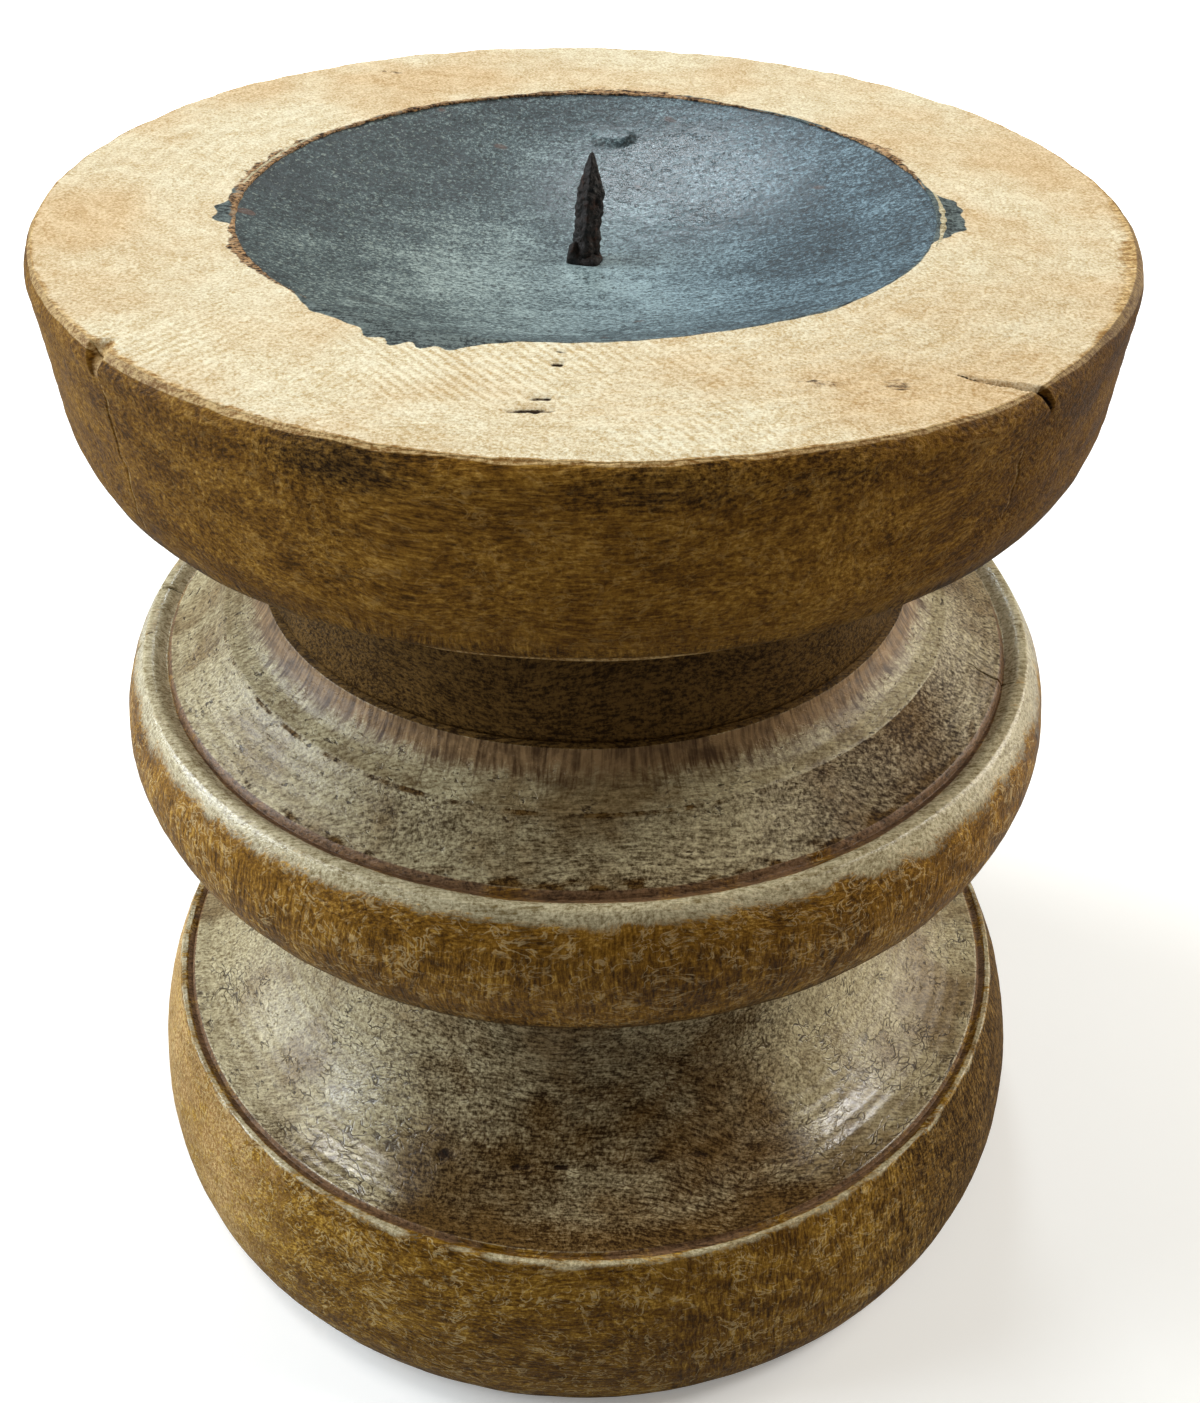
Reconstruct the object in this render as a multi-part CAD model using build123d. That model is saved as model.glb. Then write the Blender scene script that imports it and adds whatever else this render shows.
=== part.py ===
from build123d import *
import math
import os

# A turned wooden pricket candle stand: a foot, a ring and a cup stacked on one axis.
# An iron dish with a spike in its middle is let into the cup.
# Millimetres. The origin is the middle of the underside, and +Z points up along the axis of turning.

# Foot block, floor to joint
foot_height = 94.5
foot_radius = 98.7
foot_widest_height = 12.0
foot_floor_inset = 3.7
foot_shoulder_height = 41.0
foot_shoulder_inset = 6.9
foot_land = 1.6
foot_quirk_width = 2.2
foot_quirk_depth = 1.2
foot_hollow_radius = 62.0
foot_hollow_depth = 2.0
waist_radius = 57.0
waist_length = 8.5

# Ring block, joint to joint
ring_height = 46.2
ring_setback = 0.4
ring_widest_height = 19.0
ring_under_inset = 11.7
ring_bead_height = 32.6
ring_bead_inset = 4.7
ring_land = 1.9
ring_land_crown = 0.25
ring_quirk_width = 3.2
ring_quirk_depth = 1.3
ring_slope_sag = 0.5
ring_collar_width = 8.1
ring_collar_drop = 6.6
ring_collar_sag = 1.3
ring_ledge = 1.2

# Cup block: the neck and the cup above it
neck_height = 27.8
neck_radius = 60.3
neck_taper = 1.5
neck_cove = 4.0
cup_height = 40.5
cup_radius = 90.9
cup_widest_height = 37.5
cup_turn_height = 18.0
cup_turn_inset = 1.5
cup_bend_height = 8.0
cup_bend_inset = 4.9
cup_under_inset = 13.4
cup_under_lift = 1.5
rim_inset = 1.6

# The grooves are deepest near their inner lip, at this share of their width
quirk_lean = 0.3

# Loose dowels, one across each joint
dowel_radius = 14.0
dowel_chamfer = 1.5
flute_count = 8
flute_radius = 0.8
socket_clearance = 0.1
socket_relief = 1.5
ring_web = 5.0

# Sheet-iron dish let into the cup
dish_radius = 57.2
dish_depth = 10.4
dish_thickness = 1.2
dish_edge_gap = 0.4

# Forged spike, square in section, with a tang driven into the cup
spike_length = 18.4
spike_width = 3.9
spike_corner_share = 0.2
spike_turn = 38.0
point_length = 7.0
point_swell_height = 3.2
point_swell_width = 3.1
point_tip_width = 0.7
tang_length = 25.0
tang_tip_width = 1.4
tang_clearance = 0.05
spike_hole_clearance = 0.35

# Weld at the foot of the spike
weld_width = 1.3
weld_height = 2.0
lump_radius = 1.2
lump_rise = 0.7
lump_angles = (-155.0, -62.0)

# The ring's edge lines up just inside the cup's
ring_radius = cup_radius - ring_setback

# Levels of the stack
ring_level = foot_height
neck_level = ring_level + ring_height
cup_level = neck_level + neck_height
rim_level = cup_level + cup_height

# The dish is a cap of this sphere
dish_sphere = (dish_radius**2 + dish_depth**2) / (2 * dish_depth)
dish_centre = rim_level - dish_depth + dish_sphere
dish_floor = rim_level - dish_depth
seat_sphere = dish_sphere + dish_thickness
dish_outer_radius = dish_radius * seat_sphere / dish_sphere
seat_radius = dish_outer_radius + dish_edge_gap

# Degrees in the sweep of the foot's cove
quarter_turn = 90

# The widest distance across the spike, corner to corner
spike_corner = spike_width * spike_corner_share
spike_across = spike_width * math.sqrt(2) - 2 * spike_corner * (math.sqrt(2) - 1)

# Each dowel reaches this far into the block above and the block below it
dowel_reach = (ring_height - ring_web - socket_relief) / 2


def turned(outline):
    """Turns a closed outline, drawn as radius and height, about the stand's axis."""
    return revolve(Plane.XZ * make_face(outline), Axis.Z)


def sphere_height(sphere_radius, radius):
    """Height of the lower half of a sphere about the dish's centre, at a radius from the axis."""
    return dish_centre - math.sqrt(sphere_radius**2 - radius**2)


def socket(floor_level, depth):
    """A blind round socket for a dowel, with its floor at a level and as deep as asked."""
    return Pos(0, 0, floor_level) * Cylinder(
        dowel_radius + socket_clearance, depth, align=(Align.CENTER, Align.CENTER, Align.MIN)
    )


def quirk(outer_lip, width, depth):
    """A groove cut inwards from a lip of a level face: a long outer flank and a steep inner one."""
    inner_lip = (outer_lip[0] - width, outer_lip[1])
    bottom = (inner_lip[0] + width * quirk_lean, outer_lip[1] - depth)
    return Polyline(outer_lip, bottom, inner_lip)


def forged_section(width, level):
    """One square section of the spike, its corners softened by the hammer."""
    section = RectangleRounded(width, width, width * spike_corner_share)
    return Pos(0, 0, level) * Rot(0, 0, spike_turn) * section


def make_foot_block():
    """The foot: a swelling side, a quirk at its shoulder and a deep cove up to the waist."""
    shoulder_radius = foot_radius - foot_shoulder_inset
    floor_radius = foot_radius - foot_floor_inset
    outer_lip = (shoulder_radius - foot_land, foot_shoulder_height)
    cove_radius = outer_lip[0] - foot_quirk_width
    cove_top = foot_height - waist_length
    widest = (foot_radius, foot_widest_height)
    outline = Polyline(
        (waist_radius, cove_top),
        (waist_radius, foot_height),
        (0, foot_height),
        (0, foot_hollow_depth),
        (foot_hollow_radius, foot_hollow_depth),
        (foot_hollow_radius, 0),
        (floor_radius, 0),
    )
    outline += TangentArc(widest, (floor_radius, 0), tangent=(0, -1))
    outline += TangentArc(widest, (shoulder_radius, foot_shoulder_height), tangent=(0, 1))
    outline += Line((shoulder_radius, foot_shoulder_height), outer_lip)
    outline += quirk(outer_lip, foot_quirk_width, foot_quirk_depth)
    outline += EllipticalCenterArc(
        (cove_radius, cove_top),
        cove_radius - waist_radius,
        cove_top - foot_shoulder_height,
        start_angle=2 * quarter_turn,
        arc_size=quarter_turn,
    )
    return turned(outline) - socket(foot_height - dowel_reach, dowel_reach)


def make_ring_block():
    """The ring: a half-round edge, a bead and quirk on top, a slope and a coved collar up to the neck."""
    bead_radius = ring_radius - ring_bead_inset
    bead_level = ring_level + ring_bead_height
    under_radius = ring_radius - ring_under_inset
    seat = (neck_radius + ring_ledge, neck_level)
    outer_lip = (bead_radius - ring_land, bead_level)
    inner_lip = (outer_lip[0] - ring_quirk_width, bead_level)
    collar_foot = (seat[0] + ring_collar_width, neck_level - ring_collar_drop)
    widest = (ring_radius, ring_level + ring_widest_height)
    outline = Polyline(seat, (0, neck_level), (0, ring_level), (under_radius, ring_level))
    outline += TangentArc(widest, (under_radius, ring_level), tangent=(0, -1))
    outline += TangentArc(widest, (bead_radius, bead_level), tangent=(0, 1))
    outline += SagittaArc((bead_radius, bead_level), outer_lip, -ring_land_crown)
    outline += quirk(outer_lip, ring_quirk_width, ring_quirk_depth)
    outline += SagittaArc(inner_lip, collar_foot, ring_slope_sag)
    outline += SagittaArc(collar_foot, seat, ring_collar_sag)
    lower_socket = socket(ring_level, dowel_reach + socket_relief)
    upper_socket = socket(neck_level - dowel_reach, dowel_reach)
    return turned(outline) - lower_socket - upper_socket


def make_cup_block():
    """The cup with its neck, hollowed for the dish and pierced for the spike's tang."""
    neck_top_radius = neck_radius - neck_taper
    arris = (cup_radius - cup_under_inset, cup_level + cup_under_lift)
    bend = (cup_radius - cup_bend_inset, cup_level + cup_bend_height)
    turn = (cup_radius - cup_turn_inset, cup_level + cup_turn_height)
    widest = (cup_radius, cup_level + cup_widest_height)
    rim_radius = cup_radius - rim_inset
    seat_edge = (seat_radius, sphere_height(seat_sphere, seat_radius))
    seat_floor = (0, dish_centre - seat_sphere)
    neck_top = (neck_top_radius, cup_level - neck_cove)
    outline = Polyline(seat_floor, (0, neck_level), (neck_radius, neck_level), neck_top)
    outline += TangentArc(neck_top, (neck_top_radius + neck_cove, cup_level), tangent=(0, 1))
    outline += Polyline((neck_top_radius + neck_cove, cup_level), arris, bend)
    outline += TangentArc(turn, bend, tangent=(turn[0] - widest[0], turn[1] - widest[1]))
    outline += Line(turn, widest)
    outline += TangentArc(widest, (rim_radius, rim_level), tangent=(0, 1))
    outline += Polyline((rim_radius, rim_level), (seat_radius, rim_level), seat_edge)
    outline += TangentArc(seat_floor, seat_edge, tangent=(1, 0))
    dowel_socket = socket(neck_level, dowel_reach + socket_relief)
    return turned(outline) - dowel_socket - make_spike(tang_clearance)


def make_dowel(floor_level):
    """A loose dowel with chamfered ends and glue flutes, standing on the floor of its lower socket."""
    length = 2 * dowel_reach
    foot = (Align.CENTER, Align.CENTER, Align.MIN)
    dowel = Cylinder(dowel_radius, length, align=foot)
    ends = dowel.edges().filter_by(GeomType.CIRCLE)
    dowel = chamfer(ends, dowel_chamfer)
    for place in PolarLocations(dowel_radius, flute_count):
        dowel -= place * Cylinder(flute_radius, length, align=foot)
    return Pos(0, 0, floor_level) * dowel


def make_dish():
    """The dish: a cap of sheet iron, its edge cut square to the sheet and flush with the rim."""
    edge = (dish_radius, rim_level)
    outer_edge = (dish_outer_radius, sphere_height(seat_sphere, dish_outer_radius))
    outline = TangentArc((0, dish_floor), edge, tangent=(1, 0))
    outline += Line(edge, outer_edge)
    outline += TangentArc((0, dish_floor - dish_thickness), outer_edge, tangent=(1, 0))
    outline += Line((0, dish_floor), (0, dish_floor - dish_thickness))
    hole = Cylinder(spike_across / 2 + spike_hole_clearance, dish_depth)
    return turned(outline) - Pos(0, 0, dish_floor) * hole


def make_spike(clearance=0):
    """The spike and its tang in one forging, or its hole when a clearance is given."""
    point_level = dish_floor + spike_length - point_length
    stations = (
        (tang_tip_width, dish_floor - tang_length - clearance),
        (spike_width, dish_floor),
        (spike_width, point_level),
        (point_swell_width, point_level + point_swell_height),
        (point_tip_width, point_level + point_length),
    )
    sections = [forged_section(width + 2 * clearance, level) for width, level in stations]
    return loft(sections, ruled=True)


def make_spike_weld(spike):
    """The weld: a bead round the foot of the spike with two lumps, lying on the dish."""
    bead_radius = spike_across / 2 + weld_width
    foot_level = dish_floor - dish_thickness
    crown = (0, dish_floor + weld_height)
    outline = Polyline((bead_radius, dish_floor), (bead_radius, foot_level), (0, foot_level), crown)
    outline += TangentArc((bead_radius, dish_floor), crown, tangent=(0, 1))
    bead = turned(outline)
    for angle in lump_angles:
        bead += Rot(0, 0, angle) * Pos(bead_radius, 0, dish_floor + lump_rise) * Sphere(lump_radius)
    above_dish = Pos(0, 0, dish_centre) * Sphere(dish_sphere)
    return (bead & above_dish) - spike


spike = make_spike()
pieces = {
    "foot_block": make_foot_block(),
    "ring_block": make_ring_block(),
    "cup_block": make_cup_block(),
    "lower_dowel": make_dowel(ring_level - dowel_reach),
    "upper_dowel": make_dowel(neck_level - dowel_reach),
    "dish": make_dish(),
    "spike": spike,
    "spike_weld": make_spike_weld(spike),
}

os.makedirs("parts", exist_ok=True)
for name, piece in pieces.items():
    export_step(piece, f"parts/{name}.step")
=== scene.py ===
import logging
import math
from abc import ABC, abstractmethod
from collections.abc import Sequence
from dataclasses import dataclass
from enum import Enum

import bpy
from mathutils import Matrix, Vector, noise


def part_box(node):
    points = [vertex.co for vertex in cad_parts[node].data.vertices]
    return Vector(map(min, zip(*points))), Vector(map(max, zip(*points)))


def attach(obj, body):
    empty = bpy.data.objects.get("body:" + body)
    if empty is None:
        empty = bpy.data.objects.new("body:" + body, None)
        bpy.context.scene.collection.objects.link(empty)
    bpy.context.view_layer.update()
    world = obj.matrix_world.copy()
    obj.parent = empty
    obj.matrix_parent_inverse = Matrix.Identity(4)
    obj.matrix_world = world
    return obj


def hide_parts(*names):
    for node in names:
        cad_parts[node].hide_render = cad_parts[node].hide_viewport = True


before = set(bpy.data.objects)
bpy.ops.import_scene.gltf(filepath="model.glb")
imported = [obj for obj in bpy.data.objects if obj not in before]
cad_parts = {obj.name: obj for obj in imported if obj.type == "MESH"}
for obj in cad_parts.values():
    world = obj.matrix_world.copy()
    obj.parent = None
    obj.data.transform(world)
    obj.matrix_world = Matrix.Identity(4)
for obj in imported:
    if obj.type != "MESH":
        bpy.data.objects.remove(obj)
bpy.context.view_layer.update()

LOG = logging.getLogger("candle_stand")

MM = 0.001
FULL_TURN = 2.0 * math.pi
QUARTER_TURN = 0.5 * math.pi
FULL_CIRCLE = 360.0
HALF_CIRCLE = 180.0
BODY = "root"
LATHE_PLACE = "lathe_place"
LATHE_RADIUS = 90.0 * MM

Point = tuple[float, float]
Triple = tuple[float, float, float]
Quad = tuple[float, float, float, float]
Colour = tuple[float, float, float, float]
Socket = bpy.types.NodeSocket
Inputs = dict[str | int, object]

UNIT: Triple = (1.0, 1.0, 1.0)
ORIGIN: Triple = (0.0, 0.0, 0.0)
DOWN: Point = (0.0, -1.0)
INWARD: Point = (-1.0, 0.0)
WHITE: Colour = (1.0, 1.0, 1.0, 1.0)

# How screen colours are coded: straight up to a knee, and a power above it
SCREEN_KNEE = 0.04045
SCREEN_SLOPE = 12.92
SCREEN_SHIFT = 0.055
SCREEN_POWER = 2.4

# How a seed moves noise along Y, against X
SEED_LEAN = 1.7

# Fixed settings of the textures that a node sketch draws
BEND_DETAIL = 1.0
WAVE_FACTOR = 20.0
WAVE_DETAIL = 3.0
DOT_CORE = 0.5
SEAM_CORE = 0.25


def srgb(code: str) -> Colour:
    """Turns a screen colour into the linear colour that shaders work in.

    Args:
        code: Six hexadecimal digits after a hash sign.

    Returns:
        Linear red, green and blue, and a full alpha.
    """
    parts = (int(code[i:i + 2], 16) / 255 for i in (1, 3, 5))
    linear = [part / SCREEN_SLOPE if part <= SCREEN_KNEE
              else ((part + SCREEN_SHIFT) / (1.0 + SCREEN_SHIFT)) ** SCREEN_POWER for part in parts]
    return linear[0], linear[1], linear[2], 1.0


def smooth_share(low: float, high: float, value: float) -> float:
    """Eases from 0 at low to 1 at high.

    Args:
        low: Where the share is 0. It may lie above high.
        high: Where the share is 1.
        value: The value in question.

    Returns:
        The share, from 0 to 1.
    """
    share = min(max((value - low) / (high - low), 0.0), 1.0)
    return share * share * (3.0 - 2.0 * share)


def angle_gap(first: float, second: float) -> float:
    """Gives the signed turn, in degrees, from the second azimuth to the first."""
    return (first - second + HALF_CIRCLE) % FULL_CIRCLE - HALF_CIRCLE


def bumps(place: Vector, size: float, seed: float) -> float:
    """Smooth noise that runs from about -1 to 1.

    Args:
        place: Point in metres.
        size: Width of the noise's bumps, in metres.
        seed: Any number. Another one gives other bumps.

    Returns:
        The noise at the point.
    """
    return noise.noise(place / size + Vector((seed, SEED_LEAN * seed, -seed)))


class Zone(Enum):
    """Kinds of surface on the wood. Each is kept on the mesh as an attribute of its name."""

    SIDE = "side"
    HIDDEN = "hidden"
    SAWN = "sawn"
    WORN = "worn"
    AGED = "aged"
    CREST = "crest"
    GROOVE = "groove"
    COLLAR = "collar"
    # shade paints shade into the colour under overhangs and on parts of the sides, and also carries darker
    # stain in places
    SHADE = "shade"
    TORN = "torn"
    PAINT = "paint"
    GAP = "gap"
    COMBED = "combed"
    POLISH = "polish"
    # dim paints shade on the cup's side, as a smooth darkening towards its sides and low down
    DIM = "dim"


@dataclass(frozen=True)
class Station:
    """One step of a turned outline."""

    radius: float
    height: float
    # Kind of surface, distance along the outline, and unit normal as radius and height
    zone: Zone
    along: float = 0.0
    outward: Point = (1.0, 0.0)


class Outline:
    """A turned outline, drawn from the axis at the top, out and down, to the axis at the bottom."""

    def __init__(self, start: Point) -> None:
        """Starts the outline.

        Args:
            start: First point, as radius and height.
        """
        self.points: list[tuple[Point, Zone]] = [(start, Zone.HIDDEN)]
        self.datum = 0

    @property
    def end(self) -> Point:
        """The point that the outline has reached."""
        return self.points[-1][0]

    def measure_from_here(self) -> None:
        """Makes the point reached so far the one that distances along the outline count from."""
        self.datum = len(self.points) - 1

    def line(self, to: Point, zone: Zone, step: float) -> "Outline":
        """Draws a straight run.

        Args:
            to: End of the run.
            zone: Kind of surface on it.
            step: Longest distance between stations.

        Returns:
            The outline itself.
        """
        start = self.end
        count = max(1, math.ceil(math.dist(start, to) / step))
        for i in range(1, count + 1):
            share = i / count
            spot = (start[0] + (to[0] - start[0]) * share, start[1] + (to[1] - start[1]) * share)
            self.points.append((spot, zone))
        return self

    def arc(self, to: Point, heading: Point, zone: Zone, step: float) -> "Outline":
        """Draws an arc that leaves in a given direction.

        Args:
            to: End of the arc.
            heading: Direction in which the arc leaves.
            zone: Kind of surface on it.
            step: Longest distance between stations.

        Returns:
            The outline itself.
        """
        self.points += [(spot, zone) for spot in arc_points(self.end, to, heading, step)[1:]]
        return self

    def arc_into(self, to: Point, heading: Point, zone: Zone, step: float) -> "Outline":
        """Draws an arc that arrives in a given direction.

        Args:
            to: End of the arc.
            heading: Direction in which the arc arrives.
            zone: Kind of surface on it.
            step: Longest distance between stations.

        Returns:
            The outline itself.
        """
        back = arc_points(to, self.end, (-heading[0], -heading[1]), step)
        self.points += [(spot, zone) for spot in back[-2::-1]]
        return self

    def bow(self, to: Point, sag: float, zone: Zone, step: float) -> "Outline":
        """Draws a shallow arc over a straight run.

        Args:
            to: End of the run.
            sag: How far the middle lies to the left of the run, seen along it.
            zone: Kind of surface on it.
            step: Longest distance between stations.

        Returns:
            The outline itself.
        """
        start = self.end
        length = math.dist(start, to)
        turn = 2.0 * math.atan(2.0 * sag / length)
        across, up = (to[0] - start[0]) / length, (to[1] - start[1]) / length
        lean, rise = math.cos(turn), math.sin(turn)
        heading = (across * lean - up * rise, across * rise + up * lean)
        return self.arc(to, heading, zone, step)

    def stations(self) -> list[Station]:
        """Works out the distance and the normal at every point.

        Returns:
            The stations, in the order drawn.
        """
        spots = [spot for spot, _ in self.points]
        before_datum = spots[:self.datum + 1]
        made, along = [], -sum(math.dist(*pair) for pair in zip(before_datum, before_datum[1:]))
        for i, (spot, zone) in enumerate(self.points):
            before, after = spots[max(i - 1, 0)], spots[min(i + 1, len(spots) - 1)]
            along += math.dist(spot, spots[max(i - 1, 0)])
            run = math.dist(before, after) or 1.0
            outward = ((before[1] - after[1]) / run, (after[0] - before[0]) / run)
            made.append(Station(spot[0], spot[1], zone, along, outward))
        return made


def arc_points(start: Point, end: Point, heading: Point, step: float) -> list[Point]:
    """Samples the arc that leaves a point in one direction and ends at another point.

    Args:
        start: First point.
        end: Last point.
        heading: Direction in which the arc leaves the first point.
        step: Longest distance between samples.

    Returns:
        Points from start to end.
    """
    size = math.hypot(*heading)
    left = (-heading[1] / size, heading[0] / size)
    chord = (end[0] - start[0], end[1] - start[1])
    radius = (chord[0] ** 2 + chord[1] ** 2) / (2.0 * (chord[0] * left[0] + chord[1] * left[1]))
    centre = (start[0] + left[0] * radius, start[1] + left[1] * radius)
    first = math.atan2(start[1] - centre[1], start[0] - centre[0])
    last = math.atan2(end[1] - centre[1], end[0] - centre[0])
    sweep = (last - first) % FULL_TURN if radius > 0 else -((first - last) % FULL_TURN)
    count = max(2, math.ceil(abs(radius * sweep) / step))
    turns = (first + sweep * i / count for i in range(count + 1))
    return [(centre[0] + abs(radius) * math.cos(t), centre[1] + abs(radius) * math.sin(t)) for t in turns]


@dataclass(frozen=True)
class Noise:
    """One kind of noise.

    Attributes:
        scale: Bumps in a metre, along each axis or along all three alike.
        detail: Number of finer layers.
        rough: Strength of the finer layers.
        bend: How far the noise is bent out of shape.
    """

    scale: Triple | float
    detail: float = 4.0
    rough: float = 0.55
    bend: float = 0.0


@dataclass(frozen=True)
class Ease:
    """A step from one level to another, with soft ends.

    Attributes:
        start: Value at which the step starts. It may lie above the end.
        end: Value at which the step ends.
        low: Level before the step.
        high: Level after the step.
    """

    start: float
    end: float
    low: float = 0.0
    high: float = 1.0

    def at(self, value: float) -> float:
        """Gives the level at a value."""
        return self.low + (self.high - self.low) * smooth_share(self.start, self.end, value)


@dataclass(frozen=True)
class Bend:
    """A wandering of places, which makes streaks read there wander.

    Attributes:
        scale: How many bends fit in a metre.
        reach: How far a place is moved.
    """

    scale: float
    reach: float


class Wave(Enum):
    """Shapes of a wave."""

    BANDS = "BANDS"
    RINGS = "RINGS"


@dataclass(frozen=True)
class Bands:
    """Bands across X, or rings round X.

    Attributes:
        spacing: Distance from band to band.
        bend: How far the bands wander.
        detail_scale: Fineness of that wandering.
        shape: The wave's shape.
    """

    spacing: float
    bend: float
    detail_scale: float
    shape: Wave = Wave.BANDS


@dataclass(frozen=True)
class Dots:
    """Small round dots, scattered with at most one in each cell.

    Attributes:
        scale: How many cells fit in a metre.
        size: Radius of the dots, against a cell's width.
        share: Share of the cells that have a dot.
    """

    scale: float
    size: float
    share: float


class NodeSketch:
    """A material's node tree, drawn one node at a time."""

    def __init__(self, name: str) -> None:
        """Makes an empty material with a surface shader.

        Args:
            name: The material's name.
        """
        self.material = bpy.data.materials.new(name)
        self.material.use_nodes = True
        self.tree = self.material.node_tree
        self.tree.nodes.clear()
        self.surface = self.add("ShaderNodeBsdfPrincipled")
        self.add("ShaderNodeOutputMaterial", {"Surface": self.surface.outputs["BSDF"]})

    def add(self, kind: str, inputs: Inputs | None = None, **settings: object) -> bpy.types.Node:
        """Adds a node, sets its options and fills its inputs.

        Args:
            kind: The node's type.
            inputs: What each input gets, by its name or number.
            settings: Options by name.

        Returns:
            The node.
        """
        node = self.tree.nodes.new(kind)
        for key, value in settings.items():
            setattr(node, key, value)
        for key, value in (inputs or {}).items():
            self.feed(node.inputs[key], value)
        return node

    def feed(self, socket: Socket, value: object) -> None:
        """Links an output to a socket, or sets the socket's own value.

        Args:
            socket: The input to fill.
            value: An output of another node, or a plain value.
        """
        if isinstance(value, bpy.types.NodeSocket):
            self.tree.links.new(value, socket)
        else:
            socket.default_value = value

    def place(self) -> Socket:
        """Gives the place on the object, in metres."""
        return self.add("ShaderNodeTexCoord").outputs["Object"]

    def mark(self, zone: Zone) -> Socket:
        """Reads a zone's attribute from the mesh."""
        return self.add("ShaderNodeAttribute", attribute_name=zone.value).outputs["Fac"]

    def distance(self, place: Socket, spot: Triple) -> Socket:
        """Gives the distance from a place to a fixed spot."""
        return self.add("ShaderNodeVectorMath", {0: place, 1: spot}, operation="DISTANCE").outputs["Value"]

    def part(self, place: Socket, axis: str) -> Socket:
        """Gives one coordinate of a place."""
        return self.add("ShaderNodeSeparateXYZ", {"Vector": place}).outputs[axis]

    def stretched(self, place: Socket, scale: Triple, turn: float = 0.0, shift: Triple = ORIGIN) -> Socket:
        """Scales, turns and shifts a place.

        Args:
            place: The place to change.
            scale: Factors for X, Y and Z.
            turn: Turn about Z, in degrees.
            shift: Shift, after scaling and turning.

        Returns:
            The changed place.
        """
        node = self.add("ShaderNodeMapping", {
            "Vector": place, "Scale": scale, "Rotation": (0.0, 0.0, math.radians(turn)), "Location": shift})
        return node.outputs["Vector"]

    def bent(self, place: Socket, bend: Bend) -> Socket:
        """Bends a place out of line, so that streaks read there wander.

        Args:
            place: The place to bend.
            bend: How it is bent.

        Returns:
            The bent place.
        """
        node = self.add("ShaderNodeTexNoise", {"Vector": place, "Scale": bend.scale, "Detail": BEND_DETAIL})
        moves = {0: node.outputs["Color"], 1: (bend.reach, bend.reach, bend.reach), 2: place}
        return self.add("ShaderNodeVectorMath", moves, operation="MULTIPLY_ADD").outputs["Vector"]

    def clouds(self, place: Socket, kind: Noise) -> Socket:
        """Adds noise.

        Args:
            place: Where the noise is read.
            kind: The kind of noise.

        Returns:
            Noise from 0 to 1.
        """
        scale = kind.scale
        if isinstance(scale, tuple):
            place, scale = self.stretched(place, scale), 1.0
        node = self.add("ShaderNodeTexNoise", {
            "Vector": place, "Scale": scale, "Detail": kind.detail, "Roughness": kind.rough,
            "Distortion": kind.bend})
        return node.outputs["Fac"]

    def bands(self, place: Socket, bands: Bands) -> Socket:
        """Adds bands or rings.

        Args:
            place: Where the bands are read.
            bands: The kind of bands.

        Returns:
            A wave from 0 to 1.
        """
        node = self.add("ShaderNodeTexWave", {
            "Vector": place, "Scale": FULL_TURN / (WAVE_FACTOR * bands.spacing), "Distortion": bands.bend,
            "Detail": WAVE_DETAIL, "Detail Scale": bands.detail_scale}, wave_type=bands.shape.value)
        return node.outputs["Fac"]

    def dots(self, place: Socket, dots: Dots) -> Socket:
        """Scatters small round dots.

        Args:
            place: Where the dots are read.
            dots: The kind of dots.

        Returns:
            1 inside a dot and 0 elsewhere.
        """
        node = self.add("ShaderNodeTexVoronoi", {"Vector": place, "Scale": dots.scale}, feature="F1")
        inside = self.eased(node.outputs["Distance"], Ease(dots.size, DOT_CORE * dots.size))
        chosen = self.math("LESS_THAN", self.part(node.outputs["Color"], "X"), dots.share)
        return self.math("MULTIPLY", inside, chosen)

    def seams(self, place: Socket, width: float) -> Socket:
        """Draws thin seams between cells of about one unit.

        Args:
            place: Where the cells are read.
            width: Half the seams' width, against a cell's width.

        Returns:
            1 in the middle of a seam and 0 beside it.
        """
        node = self.add("ShaderNodeTexVoronoi", {"Vector": place, "Scale": 1.0}, feature="DISTANCE_TO_EDGE")
        return self.eased(node.outputs["Distance"], Ease(width, SEAM_CORE * width))

    def math(self, operation: str, first: object, second: object = 0.0) -> Socket:
        """Works out one sum, held between 0 and 1 only where the operation does so itself.

        Args:
            operation: The operation's name.
            first: First value.
            second: Second value.

        Returns:
            The result.
        """
        return self.add("ShaderNodeMath", {0: first, 1: second}, operation=operation).outputs[0]

    def total(self, *parts: tuple[Socket, float]) -> Socket:
        """Adds several values, each by its own weight.

        Args:
            parts: Values and weights.

        Returns:
            The sum.
        """
        result = self.math("MULTIPLY", *parts[0])
        for value, weight in parts[1:]:
            node = self.add("ShaderNodeMath", {0: value, 1: weight, 2: result}, operation="MULTIPLY_ADD")
            result = node.outputs[0]
        return result

    def mix(self, share: Socket, first: object, second: object) -> Socket:
        """Mixes two plain values.

        Args:
            share: Share of the second value.
            first: First value.
            second: Second value.

        Returns:
            The mixed value.
        """
        node = self.add("ShaderNodeMix", {"Factor": share, "A": first, "B": second}, data_type="FLOAT")
        return node.outputs["Result"]

    def eased(self, value: Socket, step: Ease) -> Socket:
        """Eases a value from one range into another.

        Args:
            value: The value.
            step: Both ranges.

        Returns:
            The eased value.
        """
        node = self.add("ShaderNodeMapRange", {
            "Value": value, "From Min": step.start, "From Max": step.end, "To Min": step.low,
            "To Max": step.high}, interpolation_type="SMOOTHSTEP")
        return node.outputs["Result"]

    def blend(self, share: object, first: object, second: object, mode: str = "MIX") -> Socket:
        """Mixes two colours.

        Args:
            share: Share of the second colour.
            first: First colour.
            second: Second colour.
            mode: How they mix.

        Returns:
            The mixed colour.
        """
        node = self.add("ShaderNodeMix", {"Factor": share}, data_type="RGBA", blend_type=mode)
        colours = [socket for socket in node.inputs if socket.type == "RGBA"]
        self.feed(colours[0], first)
        self.feed(colours[1], second)
        return next(socket for socket in node.outputs if socket.type == "RGBA")

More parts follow.
